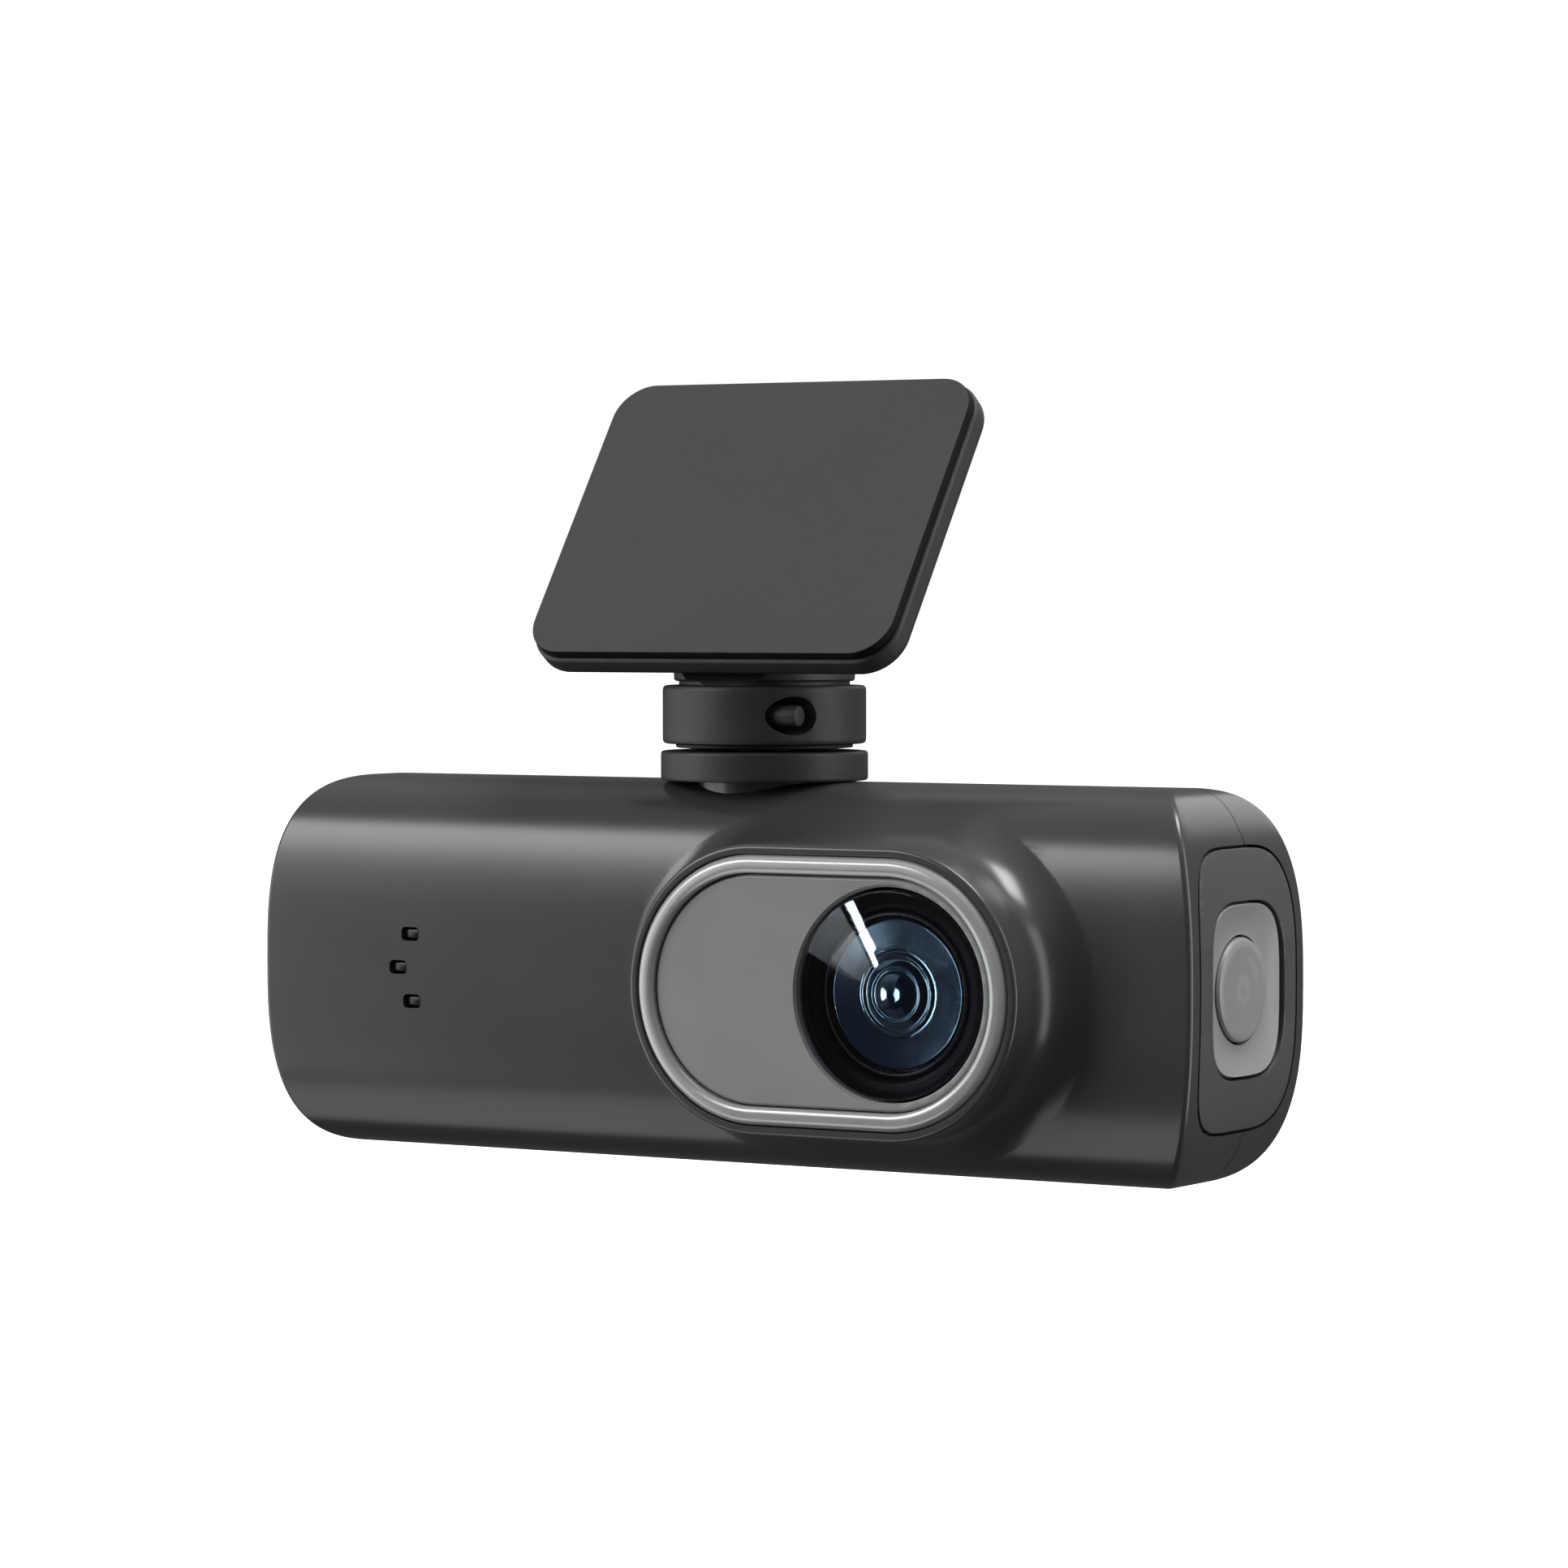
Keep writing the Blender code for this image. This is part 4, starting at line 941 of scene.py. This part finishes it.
def swivel_collar():
    top = 47.5 * MM
    low = 41.7 * MM
    profile = soften(
        [
            (5.0 * MM, top),
            (COLLAR_RADIUS, top),
            (COLLAR_RADIUS, low),
            (8.8 * MM, low),
            (8.8 * MM, 41.3 * MM),
            (5.0 * MM, 41.3 * MM),
        ],
        0.5 * MM,
    )
    collar = turned("collar", "Z", DATUM, profile, 192)
    centre = (LOCK_Y, LOCK_Z)
    cut(
        collar,
        cylinder("lock_recess", "X", centre, 3.3 * MM, 16 * MM, 1.9 * MM, 96),
        cylinder("lock_thread", "X", centre, -3.5 * MM, 5 * MM, 0.85 * MM, 32),
    )
    bevel(collar, 0.12 * MM, 2, 50)
    finish(collar, MOUNT_BLACK, "swivel", "swivel_collar")

    profile = in_mm((0, 8.2), (0.75, 8.2), (0.97, 8.12), (1.05, 7.9), (1.05, 3.6))
    profile += in_mm((0.55, 3.6), (0.55, -3), (0, -3))
    peg = turned("lock_peg", "X", at(0, LOCK_Y, LOCK_Z), profile, 64, closed=False)
    finish(peg, MOUNT_BLACK, "swivel", "lock_screw")


def plate_solid(name, levels, steps=14):
    """Rounded rectangles stacked along the plate's outward normal: inset and height pairs."""
    along, outward = plate_axes()
    rings = []
    for inset, height in levels:
        half_x = PAD_SIZE[0] / 2 - inset
        half_y = PAD_SIZE[1] / 2 - inset
        outline = rounded_rectangle(half_x, half_y, 4.0 * MM - inset, steps)
        rings.append([Vector((x, 0, 0)) + along * y + outward * height for x, y in outline])
    return ring_mesh(name, rings)


def leaning_box(name, low, high):
    """A box whose Y and Z run along the plate's slope and its outward normal."""
    along, outward = plate_axes()
    rings = []
    for height in (low[2], high[2]):
        corners = ((low[0], low[1]), (high[0], low[1]), (high[0], high[1]), (low[0], high[1]))
        rings.append([Vector((x, 0, 0)) + along * y + outward * height for x, y in corners])
    return ring_mesh(name, rings)


def adhesive_pad():
    edge = 0.1 * MM
    levels = [(0.0, -PAD_THICK), (0.0, -edge)]
    for step in range(1, 5):
        angle = math.pi / 2 * step / 4
        levels.append((edge * (1 - math.cos(angle)), -edge + edge * math.sin(angle)))
    pad = plate_solid("adhesive_film", levels)
    finish(pad, FOAM, "bracket", "adhesive_pad", 40)


def bracket_plate():
    """The plate and its lug. The rim is rounded most at the back."""
    margin = 0.3 * MM
    high = -PAD_THICK - GAP
    low = high - PLATE_THICK
    rear_round = 1.3 * MM
    front_round = 0.3 * MM
    levels = []
    for step in range(9):
        angle = math.pi / 2 * step / 8
        inset = rear_round * (1 - math.sin(angle)) - margin
        levels.append((inset, low + rear_round * (1 - math.cos(angle))))
    for step in range(5):
        angle = math.pi / 2 * step / 4
        inset = front_round * (1 - math.cos(angle)) - margin
        levels.append((inset, high - front_round + front_round * math.sin(angle)))
    plate = plate_solid("mount_plate", levels)
    hinge = at(0, *HINGE)
    along, outward = plate_axes()
    radius = 3.8 * MM
    reach = low - hinge.dot(outward) + 0.8 * MM
    outline = half_circle(radius, -1) + [(-radius, reach), (radius, reach)]
    rings = []
    for x in (-3.0 * MM, 3.0 * MM):
        rings.append([hinge + Vector((x, 0, 0)) + along * y + outward * z for y, z in outline])
    lug = ring_mesh("lug", rings)
    bevel(lug, 0.25 * MM, 2, 60)
    join(plate, lug)
    cut(plate, cylinder("lug_bore", "X", HINGE, -9 * MM, 9 * MM, PIN_BORE, 48))
    finish(plate, MOUNT_BLACK, "bracket", "bracket_plate", 35)


def hinge_post():
    """The neck that turns in the collar, with two ears for the plate's lug."""
    top = 49.6 * MM
    profile = [(0.0, top), (8.6 * MM, top), (8.9 * MM, top - 0.12 * MM), (9.0 * MM, top - 0.4 * MM)]
    profile += [(9.0 * MM, 48.1 * MM), (8.8 * MM, 47.9 * MM), (8.5 * MM, 47.9 * MM)]
    profile += [(8.5 * MM, 47.56 * MM), (4.7 * MM, 47.56 * MM), (4.7 * MM, 41.5 * MM)]
    profile += [(2.5 * MM, 41.5 * MM), (2.5 * MM, 34.5 * MM), (0.0, 34.5 * MM)]
    post = turned("post", "Z", DATUM, profile, 128, closed=False)
    radius = 4.0 * MM
    sunk = top - 1 * MM - HINGE[1]
    ear = half_circle(radius, 1) + [(-radius - 1 * MM, sunk), (radius + 1 * MM, sunk)]
    for low, high in ((3.3 * MM, 6.3 * MM), (-6.3 * MM, -3.3 * MM)):
        join(post, bevel(prism("ear", "X", ear, HINGE, low, high), 0.25 * MM, 2, 60))
    back = PAD_THICK + GAP + PLATE_THICK + 1.1 * MM
    plate_foot = -PAD_SIZE[1] / 2
    reach = 15 * MM
    room = leaning_box(
        "plate_room", (-reach, plate_foot - reach, -back), (reach, plate_foot + reach, reach)
    )
    cut(
        post,
        room,
        cylinder("screw_bore", "Z", SWIVEL, 30 * MM, 42 * MM, 1.4 * MM, 32),
        cylinder("pin_bore", "X", HINGE, -12 * MM, 12 * MM, PIN_BORE, 48),
    )
    finish(post, MOUNT_BLACK, "swivel", "hinge_post", 35)


def cross_recess(place, face, size, depth):
    """Two crossed tapered slots to cut into a screw's head.

    place turns a level along the screw and two offsets across it into a point.
    """
    tools = []
    for turn in (0, math.pi / 2):
        rings = []
        for share, level in ((1.0, face + 0.2 * MM), (0.35, face - depth)):
            ring = []
            for a, b in ((-1, -0.22), (1, -0.22), (1, 0.22), (-1, 0.22)):
                u = size * share * (a * math.cos(turn) - b * math.sin(turn))
                v = size * share * (a * math.sin(turn) + b * math.cos(turn))
                ring.append(place(level, u, v))
            rings.append(ring)
        tools.append(ring_mesh("recess", rings))
    return tools


def screws():
    spots = [(x, z) for x in (-SCREW_X, SCREW_X) for z in SCREW_Z]
    profile = in_mm((0, 3.2), (0.95, 2.6), (0.95, -9.2), (1.9, -9.25), (2, -9.4))
    profile += in_mm((2, -10.1), (1.8, -10.4), (1.2, -10.58), (0, -10.62))
    for number, (x, z) in enumerate(spots, 1):
        screw = turned(f"screw_{number}", "Y", at(x, 0, z), profile, 64, closed=False)
        tools = cross_recess(
            lambda level, u, v: at(x + u, level, z + v), 10.62 * MM, 1.15 * MM, 0.8 * MM
        )
        cut(screw, *tools)
        finish(screw, STEEL, "camera", f"case_screw_{number}", 35)

    profile = in_mm((0, 8.3), (1.4, 8.25), (2.3, 8), (2.5, 7.7), (2.5, 6.6))
    profile += in_mm((1.25, 6.6), (1.25, -8.4), (1.1, -8.6), (0, -8.6))
    bolt = turned("hinge_bolt", "X", at(0, *HINGE), profile, 64, closed=False)
    tools = cross_recess(
        lambda level, u, v: at(level, HINGE[0] + u, HINGE[1] + v), 8.3 * MM, 1.4 * MM, 0.9 * MM
    )
    cut(bolt, *tools)
    finish(bolt, STEEL, "swivel", "hinge_screw", 35)
    hexagon = [point[:2] for point in circle(2.9 * MM, 6)]
    nut = prism("hinge_hex", "X", hexagon, HINGE, -8.3 * MM, -6.6 * MM)
    cut(nut, cylinder("nut_bore", "X", HINGE, -10 * MM, -5 * MM, PIN_BORE, 48))
    bevel(nut, 0.15 * MM, 2, 40)
    finish(nut, STEEL, "swivel", "hinge_nut", 35)


def ports():
    """The inlet's shell round its tongue, and the memory card."""
    outline = rounded_rectangle(1.6 * MM, 4.47 * MM, 1.5 * MM)
    inlet = prism("inlet_shell", "X", outline, USB, -50.0 * MM, -42.6 * MM)
    room = rounded_rectangle(1.25 * MM, 4.12 * MM, 1.2 * MM)
    tongue = rounded_rectangle(0.35 * MM, 3.3 * MM, 0.3 * MM)
    hollow = prism("room", "X", room, USB, -51.0 * MM, -43.6 * MM)
    cut(hollow, prism("tongue", "X", tongue, USB, -50.0 * MM, -43.0 * MM))
    cut(inlet, hollow)
    bevel(inlet, 0.08 * MM, 2, 50)
    finish(inlet, STEEL, "camera", "usb_inlet", 35)
    outline = in_mm((-50.6, -5.5), (-35.6, -5.5), (-35.6, 4.1))
    outline += in_mm((-41, 4.1), (-42.4, 5.5), (-50.6, 5.5))
    card = prism("card_body", "Y", outline, (0, CARD_Z), 3.9 * MM, 4.9 * MM)
    bevel(card, 0.14 * MM, 3, 40)
    finish(card, SATIN_BLACK, "card", "memory_card", 35)


# ---- Inner parts that keep their CAD shape take a finished material.

KEPT = {
    BOARD: ("main_board", "sensor_board", "button_board", "indicator_board"),
    CHIP: ("processor", "memory_chip", "power_chip", "image_sensor"),
    SLEEVE: ("supercapacitor_lower", "supercapacitor_upper"),
    COPPER: ("wifi_antenna",),
    CLEAR: ("rear_lens",),
    INNER_BLACK: ("lens_holder", "board_connector", "speaker"),
    STEEL: (
        "swivel_washer",
        "swivel_screw",
        "heat_spreader",
        "card_socket",
        "button_switch",
        "microphone",
    ),
}


def dress_kept_nodes():
    for look, names in KEPT.items():
        for name in names:
            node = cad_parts[name]
            node.data.materials.clear()
            node.data.materials.append(look)


# ---- Studio: pale floor, plain surroundings, and soft boxes.

VIEWPOINT = at(291.13 * MM, -472.79 * MM, 55.80 * MM)
LIGHT_REACH = 0.8
CARD_REACH = 1.15
# Strengths by height: the surroundings' from straight down to straight up, and the key light's
# from its low edge to its high one. The first two of each are its ends.
WORLD_FADE = ((0.0, 0.1), (1.0, 0.6), (0.35, 0.1), (0.75, 0.12))
KEY_FADE = ((0.0, 0.0), (1.0, 1.0), (0.3, 0.2), (0.62, 0.75))
# Name, azimuth and elevation, span across and up in degrees, radiance, and a spark's shape.
SOFTBOXES = (
    ("key", -44, 18, (40, 32), 8.5),
    ("left_fill", -72, -8, (56, 36), 1.7),
    ("left_near", -45, -6, (14, 30), 0.9),
    ("low_front", -40, -45, (50, 34), 1.35),
    ("right_end", 104, 5, (40, 70), 2.9),
    ("back_high", 172, 30, (30, 26), 1.5),
    ("overhead", 112, 71, (24, 24), 14),
)
LENS_SPARKS = (
    ("spark_round", -52, -4, (17, 17), 170, "ELLIPSE"),
    ("spark_small", -21, -4, (9, 16), 200, "RECTANGLE"),
    ("spark_edge", -92, -4, (14, 80), 14, "RECTANGLE"),
)


def aim(thing, target):
    thing.rotation_euler = (target - thing.location).to_track_quat("-Z", "Y").to_euler()


def softbox(name, azimuth, elevation, span, radiance, shape="RECTANGLE"):
    """An area light of an angular span; azimuth is from the lens side towards +X, in degrees.
    The key light is graded from its low edge to its high one.
    """
    target = at(0, 0, 20 * MM)
    light = bpy.data.lights.new(name, "AREA")
    light.shape = shape
    light.size = 2 * LIGHT_REACH * math.tan(math.radians(span[0] / 2))
    light.size_y = 2 * LIGHT_REACH * math.tan(math.radians(span[1] / 2))
    light.energy = radiance * math.pi * light.size * light.size_y
    if shape == "ELLIPSE":
        light.energy *= math.pi / 4
    if name == "key":
        light.use_nodes = True
        tree = light.node_tree
        glow = tree.nodes["Emission"]
        where = tree.nodes.new("ShaderNodeNewGeometry")
        axes = tree.nodes.new("ShaderNodeSeparateXYZ")
        ramp = tree.nodes.new("ShaderNodeValToRGB")
        tree.links.new(where.outputs["Parametric"], axes.inputs["Vector"])
        tree.links.new(axes.outputs["Y"], ramp.inputs["Fac"])
        tree.links.new(ramp.outputs["Color"], glow.inputs["Strength"])
        set_stops(ramp, grey_stops(KEY_FADE))
    made = bpy.data.objects.new(name, light)
    bpy.context.scene.collection.objects.link(made)
    a = math.radians(azimuth)
    e = math.radians(elevation)
    way = Vector((math.sin(a) * math.cos(e), -math.cos(a) * math.cos(e), math.sin(e)))
    made.location = target + way * LIGHT_REACH
    aim(made, target)
    return made


def pale_floor():
    """A floor that the camera sees as plain white, and that throws no light on the object."""
    mesh = bpy.data.meshes.new("floor")
    drop = 45 * MM
    reach = 30.0
    corners = [(-reach, -reach), (reach, -reach), (reach, reach), (-reach, reach)]
    mesh.from_pydata([at(x, y, -drop) for x, y in corners], [], [(0, 1, 2, 3)])
    floor = bpy.data.objects.new("floor", mesh)
    bpy.context.scene.collection.objects.link(floor)
    made = Nodes("pale_floor")
    made.colour(made.mix(made.noise(3, 2), (0.8, 0.8, 0.8), (0.84, 0.84, 0.84)))
    made.set(Emission_Color=(1, 1, 1, 1), Emission_Strength=0.98)
    made.roughness(made.span(made.noise(40, 2), 0.7, 0.8))
    mesh.materials.append(made.material)
    floor.visible_diffuse = False
    floor.visible_glossy = False


def surroundings():
    """White to the camera, and a grey that lightens upwards to everything else."""
    world = bpy.data.worlds.new("studio")
    bpy.context.scene.world = world
    world.use_nodes = True
    tree = world.node_tree
    back = tree.nodes["Background"]
    place = tree.nodes.new("ShaderNodeTexCoord")
    axes = tree.nodes.new("ShaderNodeSeparateXYZ")
    height = tree.nodes.new("ShaderNodeMapRange")
    height.inputs["From Min"].default_value = -1
    ramp = tree.nodes.new("ShaderNodeValToRGB")
    tree.links.new(place.outputs["Generated"], axes.inputs["Vector"])
    tree.links.new(axes.outputs["Z"], height.inputs["Value"])
    tree.links.new(height.outputs["Result"], ramp.inputs["Fac"])
    tree.links.new(ramp.outputs["Color"], back.inputs["Color"])
    set_stops(ramp, grey_stops(WORLD_FADE))
    seen = tree.nodes.new("ShaderNodeLightPath")
    white = tree.nodes.new("ShaderNodeBackground")
    white.inputs["Color"].default_value = (1, 1, 1, 1)
    both = tree.nodes.new("ShaderNodeMixShader")
    out = tree.nodes["World Output"]
    tree.links.new(seen.outputs["Is Camera Ray"], both.inputs["Fac"])
    tree.links.new(back.outputs["Background"], both.inputs[1])
    tree.links.new(white.outputs["Background"], both.inputs[2])
    tree.links.new(both.outputs["Shader"], out.inputs["Surface"])


def lights():
    for settings in SOFTBOXES:
        softbox(*settings)
    card("window_patch", ((-6.2, 9.2), (-2.9, 4.1), (-4.1, 1.2), (-10.6, 4.6)), 2.4, 13.0)
    card("window_bar", ((-5.0, 8.5), (-4.1, 8.9), (-1.5, 4.3), (-2.3, 3.9)), 120, 120)


def lens_sparks():
    """Small lights that only the lens element takes, for the glints in its domed middle."""
    only = bpy.data.collections.new("front_element_only")
    only.objects.link(bpy.data.objects["front_element"])
    for name, azimuth, elevation, span, radiance, shape in LENS_SPARKS:
        light = softbox(name, azimuth, elevation, span, radiance, shape=shape)
        light.light_linking.receiver_collection = only


def card(name, corners, low, high):
    """A glowing card that the flat window mirrors towards the camera, seen in gloss only.

    Its corners are where its image lies on the window: X and Z from the lens axis, in millimetres.
    Its strength goes from low at its foot to high at its top.
    """
    window = at(LENS_X, -18.25 * MM, LENS_Z)
    twin = VIEWPOINT.copy()
    twin.y = 2 * window.y - VIEWPOINT.y
    points = []
    for x, z in corners:
        seen = window + Vector((x * MM, 0, z * MM))
        points.append(seen + (seen - twin) * CARD_REACH)
    mesh = bpy.data.meshes.new(name)
    mesh.from_pydata(points, [], [tuple(range(len(points)))])
    made = bpy.data.objects.new(name, mesh)
    bpy.context.scene.collection.objects.link(made)
    look = bpy.data.materials.new(name)
    look.use_nodes = True
    tree = look.node_tree
    tree.nodes.remove(tree.nodes["Principled BSDF"])
    glow = tree.nodes.new("ShaderNodeEmission")
    place = tree.nodes.new("ShaderNodeTexCoord")
    axes = tree.nodes.new("ShaderNodeSeparateXYZ")
    grade = tree.nodes.new("ShaderNodeMapRange")
    grade.inputs["To Min"].default_value = low
    grade.inputs["To Max"].default_value = high
    tree.links.new(place.outputs["Generated"], axes.inputs["Vector"])
    tree.links.new(axes.outputs["Z"], grade.inputs["Value"])
    tree.links.new(grade.outputs["Result"], glow.inputs["Strength"])
    tree.links.new(glow.outputs["Emission"], tree.nodes["Material Output"].inputs["Surface"])
    mesh.materials.append(look)
    made.visible_camera = False
    made.visible_diffuse = False
    made.visible_shadow = False


def camera():
    data = bpy.data.cameras.new("view")
    data.sensor_width = 36
    data.lens = 128.3
    data.clip_start = 0.01
    data.clip_end = 100
    made = bpy.data.objects.new("view", data)
    bpy.context.scene.collection.objects.link(made)
    made.location = VIEWPOINT
    aim(made, at(2.272 * MM, 0, 37.687 * MM))
    bpy.context.scene.camera = made


camera()
pale_floor()
surroundings()
lights()
front_casing()
rear_casing()
end_covers()
button_surround()
power_button()
lens_front()
lens_stack()
lens_sparks()
indicator_lenses()
swivel_base()
swivel_collar()
hinge_post()
bracket_plate()
adhesive_pad()
screws()
ports()
dress_kept_nodes()

bpy.context.scene.view_settings.view_transform = "Standard"
bpy.context.scene.view_settings.look = "None"
